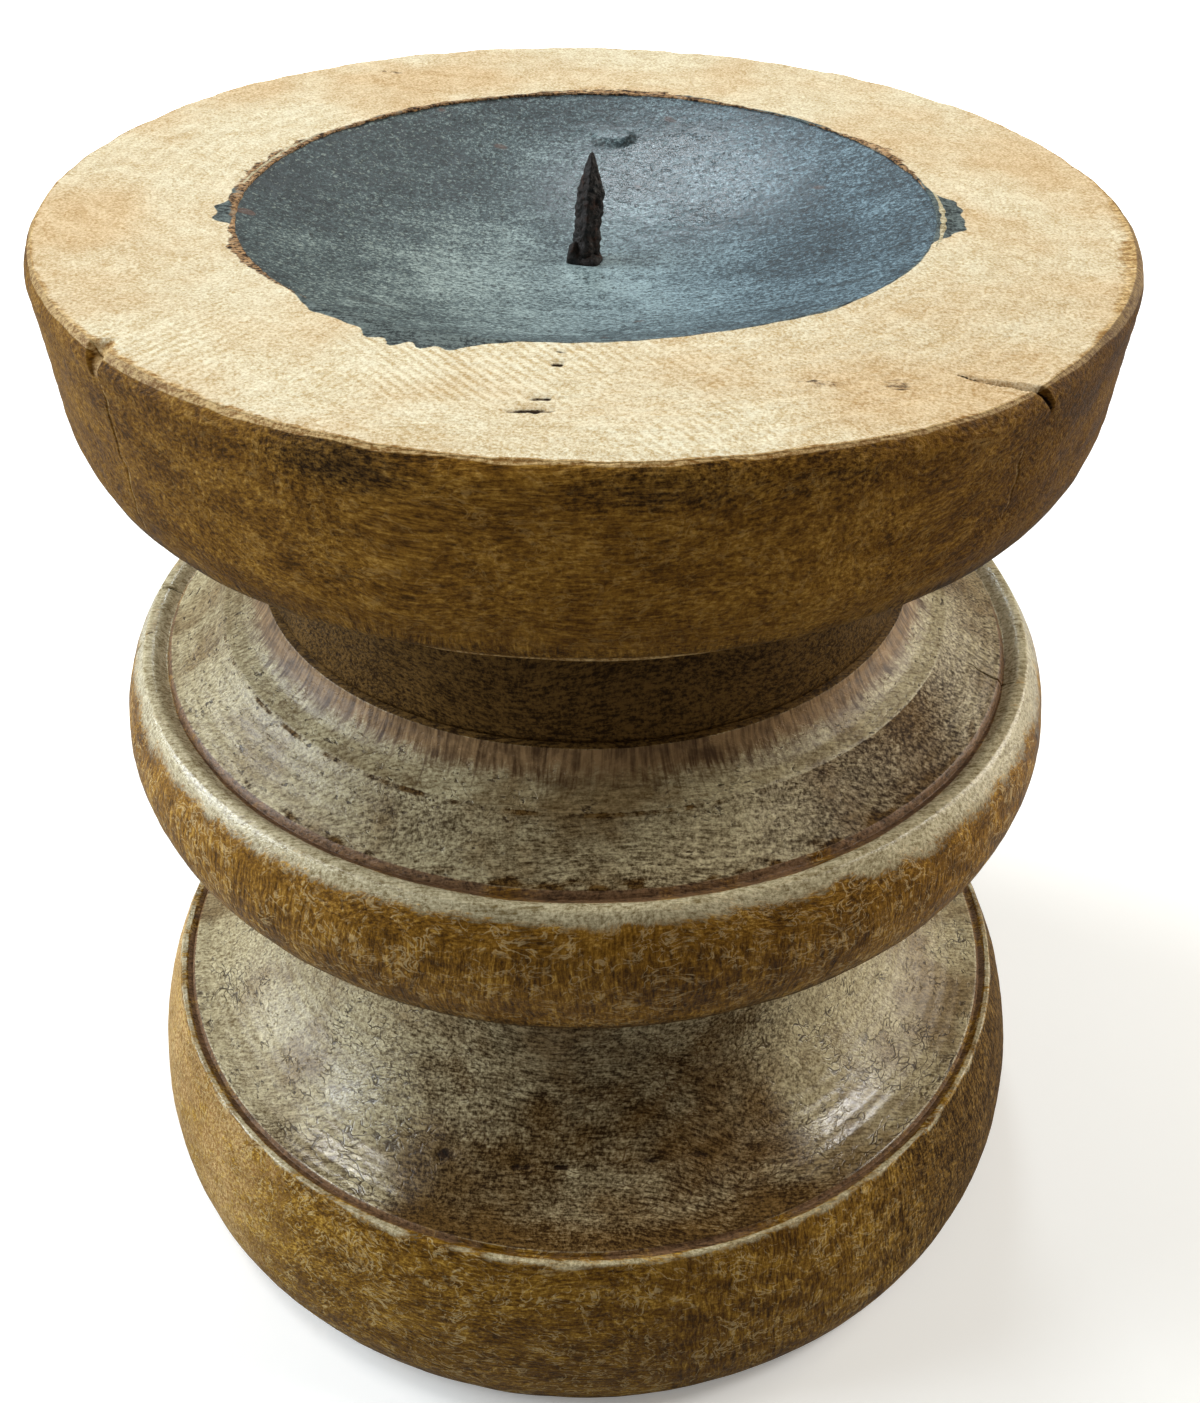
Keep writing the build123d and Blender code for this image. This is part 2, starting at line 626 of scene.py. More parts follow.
    def ramp(self, value: Socket, stops: Sequence[tuple[float, Colour]]) -> Socket:
        """Turns a value into a colour.

        Args:
            value: From 0 to 1.
            stops: Places and colours along the ramp.

        Returns:
            The colour.
        """
        node = self.add("ShaderNodeValToRGB", {"Fac": value})
        marks = node.color_ramp.elements
        while len(marks) < len(stops):
            marks.new(1.0)
        for element, (position, colour) in zip(marks, stops):
            element.position, element.color = position, colour
        return node.outputs["Color"]

    def relief(self, height: Socket, depth: float) -> None:
        """Sets the surface's bump.

        Args:
            height: Height, from 0 to 1.
            depth: Depth of the bump, in metres.
        """
        node = self.add("ShaderNodeBump", {"Height": height, "Distance": depth, "Strength": 1.0})
        self.tree.links.new(node.outputs["Normal"], self.surface.inputs["Normal"])


@dataclass(frozen=True)
class Coat:
    """Colours and gloss of one zone."""

    dark: str
    light: str
    rough: float
    shine: float = 0.3
    # Tones at which the coat is dark and light, and how much of the wood's relief shows through
    low: float = 0.36
    high: float = 0.62
    relief: float = 1.0


COATS: dict[Zone, Coat] = {
    Zone.AGED: Coat("#6A5735", "#D6C9A2", 0.34, 0.3, 0.36, 0.64, 0.45),
    Zone.COLLAR: Coat("#4A3218", "#A3825A", 0.45, 0.25, 0.25, 0.75, 0.6),
    Zone.GROOVE: Coat("#3A2614", "#8E6C4C", 0.4, 0.25, relief=0.6),
    Zone.CREST: Coat("#7C6A42", "#E4D8B4", 0.2, 0.5, relief=0.5),
    # Painted shade, under overhangs and on parts of the sides, and darker stain in places
    Zone.SHADE: Coat("#2B1B0A", "#72552C", 0.5, 0.05, 0.41, 0.59),
    Zone.WORN: Coat("#92682F", "#E8C88E", 0.55, 0.15, 0.41, 0.59),
    Zone.SAWN: Coat("#BEA270", "#F5EED4", 0.8, 0.15, 0.35, 0.63),
    Zone.TORN: Coat("#2C1C14", "#BC9468", 0.8, 0.15, 0.43, 0.57),
    Zone.PAINT: Coat("#1C2426", "#6A7674", 0.5, 0.2, 0.43, 0.57),
    Zone.GAP: Coat("#140D07", "#3A2614", 0.9, 0.1),
}


# The wood's places and noises
GRAIN_BEND = Bend(28.0, 12.0 * MM)
STROKE_BEND = Bend(45.0, 7.0 * MM)
CRACK_BEND = Bend(240.0, 4.0 * MM)
FIBRE_ALONG = Noise((240.0, 1900.0, 1900.0), 3.0, 0.72)
FIBRE_DOWN = Noise((1750.0, 1750.0, 240.0), 3.0, 0.72)
FIBRE_PICK = Noise(26.0, 2.0)
MOTTLE = Noise(210.0, 5.0, 0.7, 0.4)
BLOTCH = Noise((26.0, 42.0, 42.0), 3.0)
GRIT = Noise(1400.0, 3.0, 0.75)
TEETH = Noise((900.0, 900.0, 110.0), 3.0, 0.6)
WRINKLES = Noise((240.0, 360.0, 360.0), 3.0, bend=1.2)
STAINS = Noise(42.0, 4.0, 0.6)
PORE_DASHES = Noise((520.0, 520.0, 1200.0), 2.0)
CRACK_CELLS: Triple = (210.0, 210.0, 640.0)
CRACK_WIDTH = 0.075
GROWTH_RINGS = Bands(9.0 * MM, 9.0, 1.5, Wave.RINGS)
HEART_TURN = 14.0
HEART_SHIFT: Triple = (0.0, 30.0 * MM, -120.0 * MM)

# The sawn top's noises
SAW_STROKES = Bands(1.6 * MM, 1.6, 1.5)
SAW_TURN = 35.0
SAW_CORNER = Noise(40.0, 2.0)
SAW_PATCHES = Noise(30.0, 2.0)
SAWDUST = Noise(2300.0, 2.0, 0.7)
FLUSHES = Noise(24.0, 3.0)

# How the wood's noises become colour and height
HALF = 0.5
TONE_STOPS = (0.4, 0.47, 0.54, 0.62)
FIBRE_WEIGHT = 0.62
COMBED_SHIFT = 0.35
RAGGED_SHIFT = 0.5
COMBED_STEP = Ease(0.75, 1.05)
# The pale veins also stand in for glints on the wrinkled lacquer: painted highlights
VEIN_GLINT_LINE = Ease(0.042, 0.006)
VEIN_GLINT_PATCHES = (0.42, 0.58)
DULL_PATCHES = (0.35, 0.65)
CRACK_PATCHES = (0.46, 0.6)
PORE_STEP = Ease(0.6, 0.67)
PORE_PATCHES = Ease(0.42, 0.6, 0.1, 0.9)
STAIN_STEP = Ease(0.45, 0.66, 0.0, 0.7)
FLUSH_STEP = Ease(0.45, 0.75, 0.0, 0.5)
FLUSH_ASIDE = 1.6
SAW_CORNER_REACH = 20.0 * MM
SAW_CORNER_STEP = Ease(-26.0 * MM, -20.0 * MM)
SAW_FRONT = Ease(-35.0 * MM, -60.0 * MM)
SAW_LEFT = Ease(35.0 * MM, 0.0)
SAW_SHOWN = Ease(0.36, 0.62, 0.0, 0.09)
SAW_DEPTH = 0.7
CRACK_DEPTH = 0.25
MARK_GAIN = 1.5
COAT_EDGE = Ease(-0.05, 0.35)


@dataclass(frozen=True)
class Figure:
    """Places and noises that the wood is drawn from."""

    place: Socket
    grain: Socket
    strokes: Socket
    fibre: Socket
    mottle: Socket
    blotch: Socket
    grit: Socket
    streaks: Socket
    combed: Socket
    ragged: Socket


@dataclass(frozen=True)
class Layers:
    """A surface, as far as it has been drawn."""

    colour: Socket
    rough: Socket
    shine: Socket | float
    height: Socket


@dataclass(frozen=True)
class TurnedWood:
    """Old lacquered wood, with its grain across the stand."""

    name: str
    seed: float
    # Colours of the lacquered side from dark to light, of its fine pale veins, which also paint glints on the
    # wrinkled lacquer, and of its pores
    tones: tuple[str, str, str, str]
    vein_and_glint: str
    pore: str
    # Turn of the grain in degrees, and strengths of the veins with their painted glints, the crazing and the
    # growth rings
    grain_turn: float
    vein_and_glint_share: float
    crackle: float
    rings: float
    # Coats in the order in which they are laid, and colours that go over some of them; dimmed is the tint of
    # the painted shade that the dim zone lays
    zones: tuple[Zone, ...]
    stain: str = "#A0804E"
    flush: str = "#E6BE8A"
    dimmed: str = "#A0957E"
    # Gloss of the lacquer and of polished places, and depth of the relief
    rough: tuple[float, float] = (0.34, 0.5)
    shine: float = 0.1
    polish_rough: float = 0.2
    polish_shine: float = 0.65
    depth: float = 0.45 * MM

    def make(self) -> bpy.types.Material:
        """Makes the material.

        Returns:
            The finished material.
        """
        sketch = NodeSketch(self.name)
        figure = self._figure(sketch)
        layers = self._lacquer(sketch, figure)
        for zone in self.zones:
            layers = self._coat(sketch, figure, layers, zone)
        # Painted shade: the dim zone multiplies the colour darker
        colour = sketch.blend(sketch.mark(Zone.DIM), layers.colour, srgb(self.dimmed), "MULTIPLY")
        polish = sketch.mark(Zone.POLISH)
        height = sketch.mix(sketch.math("MULTIPLY", polish, HALF), layers.height, HALF)
        surface = sketch.surface.inputs
        sketch.feed(surface["Base Color"], colour)
        sketch.feed(surface["Roughness"], sketch.mix(polish, layers.rough, self.polish_rough))
        sketch.feed(surface["Specular IOR Level"], sketch.mix(polish, layers.shine, self.polish_shine))
        sketch.relief(height, self.depth)
        return sketch.material

    def _figure(self, sketch: NodeSketch) -> Figure:
        """Draws the wood's places and noises.

        Args:
            sketch: The material being drawn.

        Returns:
            What the wood is drawn from.
        """
        place = sketch.place()
        lathe = sketch.add("ShaderNodeAttribute", attribute_name=LATHE_PLACE).outputs["Vector"]
        grain = sketch.bent(sketch.stretched(place, UNIT, self.grain_turn, (self.seed,) * 3), GRAIN_BEND)
        strokes = sketch.bent(lathe, STROKE_BEND)
        pick = sketch.total((sketch.mark(Zone.COMBED), 1.0), (sketch.clouds(grain, FIBRE_PICK), 1.0))
        fibre = sketch.mix(sketch.eased(pick, COMBED_STEP), sketch.clouds(grain, FIBRE_ALONG),
                           sketch.clouds(strokes, FIBRE_DOWN))
        mottle = sketch.clouds(grain, MOTTLE)
        grit = sketch.clouds(grain, GRIT)
        combed = sketch.total((sketch.clouds(strokes, TEETH), 0.9), (mottle, 0.8))
        ragged = sketch.total((mottle, 1.1), (fibre, 0.9))
        return Figure(
            place, grain, strokes, fibre, mottle, sketch.clouds(grain, BLOTCH), grit,
            streaks=sketch.total((fibre, 0.35), (mottle, 0.2), (grit, 0.45)),
            combed=sketch.math("SUBTRACT", combed, COMBED_SHIFT),
            ragged=sketch.math("SUBTRACT", ragged, RAGGED_SHIFT))

    def _lacquer(self, sketch: NodeSketch, figure: Figure) -> Layers:
        """Draws the lacquered side, with its growth rings and fine pale veins, which also paint glints on the
        wrinkled lacquer.

        Args:
            sketch: The material being drawn.
            figure: What the wood is drawn from.

        Returns:
            The lacquered surface.
        """
        rings = sketch.bands(sketch.stretched(figure.place, UNIT, HEART_TURN, HEART_SHIFT), GROWTH_RINGS)
        tone = sketch.total((figure.fibre, FIBRE_WEIGHT - self.rings), (figure.mottle, 0.22),
                            (figure.blotch, 0.16), (rings, self.rings))
        tone = sketch.total((tone, 0.73), (figure.grit, 0.27))
        colour = sketch.ramp(tone, [(spot, srgb(code)) for spot, code in zip(TONE_STOPS, self.tones)])
        # Pale veins, which also paint the glints of the wrinkled lacquer
        waves = sketch.clouds(figure.grain, WRINKLES)
        wrinkle = sketch.math("ABSOLUTE", sketch.math("SUBTRACT", waves, HALF))
        shown = sketch.eased(figure.mottle, Ease(*VEIN_GLINT_PATCHES, 0.0, self.vein_and_glint_share))
        veins_and_glints = sketch.math("MULTIPLY", sketch.eased(wrinkle, VEIN_GLINT_LINE), shown)
        return Layers(
            colour=sketch.blend(veins_and_glints, colour, srgb(self.vein_and_glint)),
            rough=sketch.eased(figure.mottle, Ease(*DULL_PATCHES, *self.rough)),
            shine=self.shine,
            height=sketch.total((figure.fibre, 0.5), (figure.mottle, 0.5), (veins_and_glints, 0.18)))

    def _coat(self, sketch: NodeSketch, figure: Figure, under: Layers, zone: Zone) -> Layers:
        """Lays one zone's coat over what has been drawn so far.

        Args:
            sketch: The material being drawn.
            figure: What the wood is drawn from.
            under: The surface under the coat.
            zone: The coat's zone.

        Returns:
            The surface with the coat.
        """
        coat = COATS[zone]
        edges = {Zone.COLLAR: figure.combed, Zone.CREST: figure.ragged, Zone.TORN: figure.ragged,
                 Zone.WORN: figure.ragged}
        mark = sketch.math("MULTIPLY", sketch.mark(zone), MARK_GAIN)
        share = sketch.eased(sketch.math("SUBTRACT", mark, edges.get(zone, figure.streaks)), COAT_EDGE)
        tint = figure.combed if zone is Zone.COLLAR else figure.streaks
        height = under.height
        if zone is Zone.SAWN:
            tint = self._saw_marks(sketch, figure)
            rise = sketch.math("MULTIPLY", tint, sketch.math("MULTIPLY", share, SAW_DEPTH))
            height = sketch.math("ADD", height, rise)
        paint = sketch.blend(sketch.eased(tint, Ease(coat.low, coat.high)), srgb(coat.dark), srgb(coat.light))
        if coat.relief < 1.0:
            height = sketch.mix(sketch.math("MULTIPLY", share, 1.0 - coat.relief), height, HALF)
        if zone is Zone.SAWN:
            aside = sketch.math("ABSOLUTE", sketch.part(figure.place, "X"))
            warm = sketch.total((sketch.clouds(figure.place, FLUSHES), 1.0), (aside, FLUSH_ASIDE))
            paint = sketch.blend(sketch.eased(warm, FLUSH_STEP), paint, srgb(self.flush), "MULTIPLY")
        if zone is Zone.AGED:
            stained = sketch.eased(sketch.clouds(figure.grain, STAINS), STAIN_STEP)
            paint = sketch.blend(stained, paint, srgb(self.stain), "MULTIPLY")
            pits = self._crazing(sketch, figure)
            paint = sketch.blend(pits, paint, srgb(self.pore))
            cracks = sketch.math("MULTIPLY", pits, sketch.math("MULTIPLY", share, CRACK_DEPTH))
            height = sketch.math("SUBTRACT", height, cracks)
        return Layers(
            colour=sketch.blend(share, under.colour, paint),
            rough=sketch.mix(share, under.rough, coat.rough),
            shine=sketch.mix(share, under.shine, coat.shine),
            height=height)

    def _crazing(self, sketch: NodeSketch, figure: Figure) -> Socket:
        """Draws the dark pores and short cracks of the aged tops.

        Args:
            sketch: The material being drawn.
            figure: What the wood is drawn from.

        Returns:
            1 in a crack or pore and 0 elsewhere.
        """
        wavy = sketch.bent(figure.strokes, CRACK_BEND)
        cracks = sketch.seams(sketch.stretched(wavy, CRACK_CELLS), CRACK_WIDTH)
        shown = sketch.total((figure.mottle, 0.7), (figure.blotch, 0.3))
        cracks = sketch.math("MULTIPLY", cracks, sketch.eased(shown, Ease(*CRACK_PATCHES, 0.0, self.crackle)))
        dashes = sketch.eased(sketch.clouds(figure.strokes, PORE_DASHES), PORE_STEP)
        pores = sketch.math("MULTIPLY", dashes, sketch.eased(figure.mottle, PORE_PATCHES))
        return sketch.math("MAXIMUM", pores, cracks)

    def _saw_marks(self, sketch: NodeSketch, figure: Figure) -> Socket:
        """Draws the saw's marks on the flat top, which cross at a slant.

        Args:
            sketch: The material being drawn.
            figure: What the wood is drawn from.

        Returns:
            Tone of the sawn wood, from 0 to 1.
        """
        place = figure.place
        rising, falling = (sketch.bands(sketch.stretched(place, UNIT, turn), SAW_STROKES)
                           for turn in (SAW_TURN, -SAW_TURN))
        across = sketch.part(place, "X")
        corner = sketch.total((across, 1.0), (sketch.clouds(place, SAW_CORNER), SAW_CORNER_REACH))
        lines = sketch.mix(sketch.eased(corner, SAW_CORNER_STEP), rising, falling)
        front = sketch.eased(sketch.part(place, "Y"), SAW_FRONT)
        front = sketch.math("MULTIPLY", front, sketch.eased(across, SAW_LEFT))
        patch = sketch.eased(sketch.clouds(place, SAW_PATCHES), SAW_SHOWN)
        wood = sketch.total((figure.grit, 0.3), (sketch.clouds(place, SAWDUST), 0.45), (figure.mottle, 0.25))
        return sketch.mix(sketch.math("MULTIPLY", patch, front), wood, lines)


@dataclass(frozen=True)
class DowelWood:
    """Plain pale wood of the loose dowels, which no view shows."""

    dark: str = "#A9824E"
    light: str = "#D2B27C"
    streaks: Noise = Noise((900.0, 900.0, 40.0))
    rough: Ease = Ease(0.3, 0.7, 0.6, 0.75)
    depth: float = 0.1 * MM

    def make(self) -> bpy.types.Material:
        """Makes the material.

        Returns:
            The finished material.
        """
        sketch = NodeSketch("dowel_wood")
        streaks = sketch.clouds(sketch.place(), self.streaks)
        tint = sketch.blend(streaks, srgb(self.dark), srgb(self.light))
        sketch.feed(sketch.surface.inputs["Base Color"], tint)
        sketch.feed(sketch.surface.inputs["Roughness"], sketch.eased(streaks, self.rough))
        sketch.relief(streaks, self.depth)
        return sketch.material


# The dish's paint: its noises, its specks and how they become colour
PAINT_CLOUDS = Noise(60.0, 5.0, 0.6)
PAINT_GRIT = Noise(1500.0, 3.0, 0.8)
BRUSH_STROKES = Noise((160.0, 600.0, 600.0), 3.0, 0.65)
HAMMER_MARKS = Noise(330.0, 3.0, 0.6)
RUST_SPOTS = Noise(150.0, 1.0)
SPECK_BEND = Bend(1100.0, 1.6 * MM)
PALE_SPECKS = (Dots(900.0, 0.34, 0.35), Dots(1500.0, 0.36, 0.35))
DARK_SPECKS = (Dots(620.0, 0.3, 0.3), Dots(1100.0, 0.36, 0.3))
PALE_SPECK_SHARE = 0.55
DARK_SPECK_SHARE = 0.75
PAINT_STOPS = (0.42, 0.5, 0.66)
# Painted light on the bowl's floor
PAINTED_LIGHT_STEP = Ease(50.0 * MM, 6.0 * MM, -0.025, 0.08)
RUST_STEP = Ease(0.74, 0.78, 0.0, 0.6)
# Painted reflection: the tint runs bluer towards the right
REFLECTION_TINT_STEP = Ease(-45.0 * MM, 45.0 * MM)
POLISHED_STEP = Ease(10.0 * MM, 36.0 * MM, 0.18, 0.48)


@dataclass(frozen=True)
class SlatePaint:
    """Slate-grey paint on sheet iron, speckled, with painted light on the bowl's floor and towards the right,
    and a painted bluish reflection on the right.
    """

    dark: str = "#182124"
    middle: str = "#3D4D52"
    light: str = "#AEBCBC"
    speckle: str = "#95A19F"
    pit: str = "#101618"
    rust: str = "#5E3826"
    left_reflection_tint: str = "#FFFFF4"
    right_reflection_tint: str = "#D6EDFF"
    painted_light_spot: Triple = (-6.0 * MM, -16.0 * MM, 199.0 * MM)
    polished_spot: Triple = (16.0 * MM, 28.0 * MM, 202.0 * MM)
    shine: float = 0.5
    depth: float = 0.2 * MM

    def make(self) -> bpy.types.Material:
        """Makes the material.

        Returns:
            The finished material.
        """
        sketch = NodeSketch("dish_paint")
        place = sketch.place()
        clouds = sketch.clouds(place, PAINT_CLOUDS)
        grit = sketch.clouds(place, PAINT_GRIT)
        brush = sketch.clouds(place, BRUSH_STROKES)
        hammer = sketch.clouds(place, HAMMER_MARKS)
        across = sketch.part(place, "X")
        # Painted light: paler towards a spot on the bowl's floor, and towards the right
        painted_light = sketch.eased(sketch.distance(place, self.painted_light_spot), PAINTED_LIGHT_STEP)
        tone = sketch.total((clouds, 0.24), (grit, 0.6), (brush, 0.16), (painted_light, 1.0), (across, 0.5))
        colours = (srgb(self.dark), srgb(self.middle), srgb(self.light))
        colour = sketch.ramp(tone, list(zip(PAINT_STOPS, colours)))
        wavy = sketch.bent(place, SPECK_BEND)
        specks = sketch.math("MAXIMUM", *(sketch.dots(wavy, kind) for kind in PALE_SPECKS))
        colour = sketch.blend(sketch.math("MULTIPLY", specks, PALE_SPECK_SHARE), colour, srgb(self.speckle))
        pits = sketch.math("MAXIMUM", *(sketch.dots(wavy, kind) for kind in DARK_SPECKS))
        colour = sketch.blend(sketch.math("MULTIPLY", pits, DARK_SPECK_SHARE), colour, srgb(self.pit))
        rusty = sketch.eased(sketch.clouds(place, RUST_SPOTS), RUST_STEP)
        colour = sketch.blend(rusty, colour, srgb(self.rust))
        # Painted reflection: a bluer tint towards the right, where the sheen falls
        reflection_tint = sketch.blend(sketch.eased(across, REFLECTION_TINT_STEP), srgb(self.left_reflection_tint), srgb(self.right_reflection_tint))
        colour = sketch.blend(1.0, colour, reflection_tint, "MULTIPLY")
        # Scratches, and the crack and painted shadow at the blister's front edge
        colour = sketch.blend(sketch.mark(Zone.GAP), colour, srgb(self.pit))
        smooth = sketch.eased(sketch.distance(place, self.polished_spot), POLISHED_STEP)
        surface = sketch.surface.inputs
        sketch.feed(surface["Base Color"], colour)
        sketch.feed(surface["Roughness"], sketch.total((smooth, 1.0), (clouds, 0.1)))
        sketch.feed(surface["Specular IOR Level"], self.shine)
        height = sketch.total((grit, 0.4), (hammer, 1.6), (brush, 0.3), (specks, 0.2), (pits, -0.25))
        sketch.relief(height, self.depth)
        return sketch.material


@dataclass(frozen=True)
class RustedIron:
    """Black iron that has rusted and pitted."""

    black: str = "#0A0706"
    rust: str = "#1C120D"
    bloom: str = "#46291C"
    stops: Triple = (0.35, 0.55, 0.75)
    scale: Noise = Noise(500.0, 5.0, 0.7)
    grit: Noise = Noise(1800.0, 3.0, 0.6)
    rough: Ease = Ease(0.3, 0.7, 0.55, 0.85)
    shine: float = 0.35
    depth: float = 0.4 * MM

    def make(self) -> bpy.types.Material:
        """Makes the material.

        Returns:
            The finished material.
        """
        sketch = NodeSketch("spike_iron")
        place = sketch.place()
        scale = sketch.clouds(place, self.scale)
        colours = (srgb(self.black), srgb(self.rust), srgb(self.bloom))
        surface = sketch.surface.inputs
        sketch.feed(surface["Base Color"], sketch.ramp(scale, list(zip(self.stops, colours))))
        sketch.feed(surface["Roughness"], sketch.eased(scale, self.rough))
        sketch.feed(surface["Specular IOR Level"], self.shine)
        sketch.relief(sketch.math("ADD", scale, sketch.clouds(place, self.grit)), self.depth)
        return sketch.material


# How flaws and pits thin out towards their ends and edges
FLAW_WAVE = 4.0 * MM
FLAW_ENDS = 0.25
FLAW_CORE = 0.3
FLAW_FADE = 0.15
PIT_REACH = 2.0
PIT_GRAIN = 1.2 * MM
PIT_RAGGED = 0.4
PIT_SLOPE = Ease(1.2, 0.2, 0.0, 0.6)


@dataclass(frozen=True)
class Flaw:
    """A crack, notch or scratch that runs along a turned outline."""

    # Place in degrees, distances along the outline, half width and depth
    azimuth: float
    first: float
    last: float
    width: float
    depth: float
    widest: float
    wander: float = 0.5 * MM
    # What shows inside, how strongly, and the turn about the axis in degrees a metre
    zone: Zone = Zone.GAP
    shown: float = 1.0
    slant: float = 0.0

    def weight(self, station: Station, azimuth: float) -> tuple[float, float]:
        """Works out how deep the flaw is at one place.

        Args:
            station: Place along the outline.
            azimuth: Degrees about the axis.

        Returns:
            Depth in metres, and the share of the flaw's full darkness.
        """
        if not self.first < station.along < self.last:
            return 0.0, 0.0
        size = min(smooth_share(end, self.widest, station.along) for end in (self.first, self.last))
        stray = self.wander * bumps(Vector((station.along, self.azimuth, 0.0)), FLAW_WAVE, self.azimuth)
        middle = self.azimuth + self.slant * station.along
        aside = math.radians(angle_gap(azimuth, middle)) * station.radius - stray
        half = self.width * (FLAW_ENDS + (1.0 - FLAW_ENDS) * size)
        near = smooth_share(half, FLAW_CORE * half, abs(aside))
        return self.depth * size * near, self.shown * near * smooth_share(0.0, FLAW_FADE, size)


@dataclass(frozen=True)
class Pit:
    """A small hole or chip in one kind of surface.

    Attributes:
        across: Place to the right of the axis.
        back: Place behind the axis.
        zone: Kind of surface that it is in.
        long: Half its length, along the grain.
        wide: Half its width.
        depth: Its depth.
    """

    across: float
    back: float
    zone: Zone
    long: float
    wide: float
    depth: float

    def weight(self, station: Station, place: Vector) -> float:
        """Works out how deep in the pit a place lies.

        Args:
            station: Place along the outline.
            place: Point on the surface.

        Returns:
            0 outside the pit, rising towards its middle.
        """
        aside, behind = (place.x - self.across) / self.long, (place.y - self.back) / self.wide
        if station.zone is not self.zone or max(abs(aside), abs(behind)) > PIT_REACH:
            return 0.0
        return PIT_SLOPE.at(math.hypot(aside, behind) + PIT_RAGGED * bumps(place, PIT_GRAIN, self.across))


@dataclass(frozen=True)
class Sector:
    """A stretch about the axis, with soft ends.

    Attributes:
        middle: Its middle, in degrees about the axis.
        none: Degrees to either side at which its share is 0.
        full: Degrees to either side at which its share is full.
        peak: The full share.
    """

    middle: float
    none: float
    full: float
    peak: float = 1.0

    def share(self, azimuth: float) -> float:
        """Gives the stretch's share at an azimuth."""
        return self.peak * smooth_share(self.none, self.full, abs(angle_gap(azimuth, self.middle)))


@dataclass(frozen=True)
class Bell:
    """An amount that is largest at one azimuth and dies away to both sides.

    Attributes:
        middle: Where it is largest, in degrees about the axis.
        spread: How far it reaches to either side, in degrees.
        peak: The largest amount.
        power: How steeply it ends.
    """

    middle: float
    spread: float
    peak: float
    power: int = 2

    def at(self, azimuth: float) -> float:
        """Gives the amount at an azimuth."""
        return self.peak * math.exp(-(angle_gap(azimuth, self.middle) / self.spread) ** self.power)


@dataclass(frozen=True)
class Patchy:
    """A weight that comes and goes over a surface.

    Attributes:
        level: Its mean.
        swing: Strength of its patches.
        size: Width of those patches.
        fine_swing: Strength of its finer patches.
        fine_size: Width of those.
        shift: Any number. Another one gives other patches.
    """

    level: float
    swing: float
    size: float
    fine_swing: float = 0.0
    fine_size: float = 1.0 * MM
    shift: float = 0.0

    def at(self, place: Vector, seed: float) -> float:
        """Works out the weight at one place.

        Args:
            place: Point in metres.
            seed: Any number, such as the block's own.

        Returns:
            The weight.
        """
        weight = self.level + self.swing * bumps(place, self.size, seed + self.shift)
        if self.fine_swing:
            weight += self.fine_swing * bumps(place, self.fine_size, seed + self.shift)
        return weight


# The front edge of the cup's hollow is drawn in, and the dish with it
HOLLOW_DIP = Bell(280.0, 38.0, 2.9 * MM)

# Steps of faces that no view shows, or shows only from below
HIDDEN_STEP = 5.0 * MM
FLOOR_STEP = 8.0 * MM
JOINT_STEP = 10.0 * MM
UNDER_STEP = 4.0 * MM

# Steps about the axis at flaws and pits
FLAW_MARGIN = 2.0
FLAW_STEPS = 30
PIT_MARGIN = 1.5
PIT_STEPS = 10
TURN_DIGITS = 4
POLE_RADIUS = 0.01 * MM

# Unevenness that every turned block has
WOBBLE_SIZE = 60.0 * MM
RIPPLE_PITCH = 0.5 * MM
RIPPLE_STRAY = Patchy(0.0, 2.0, 25.0 * MM)
DENTS = Patchy(0.0, 1.0, 11.0 * MM, 0.4, 3.5 * MM)
TEAR_SIZE = 1.3 * MM
ZONE_BLUR = 0.5 * MM
BLUR_CUT = 3.0
PATCH_SQUASH = 2.0

Marks = dict[Zone, float]


def turns_near(middle: float, reach: float, count: int) -> set[float]:
    """Lists steps about the axis on both sides of an azimuth.

    Args:
        middle: The azimuth, in degrees.
        reach: How far the steps go to either side, in degrees.
        count: Number of steps on either side.

    Returns:
        Azimuths, in degrees.
    """
    return {round((middle + reach * i / count) % FULL_CIRCLE, TURN_DIGITS) for i in range(-count, count + 1)}


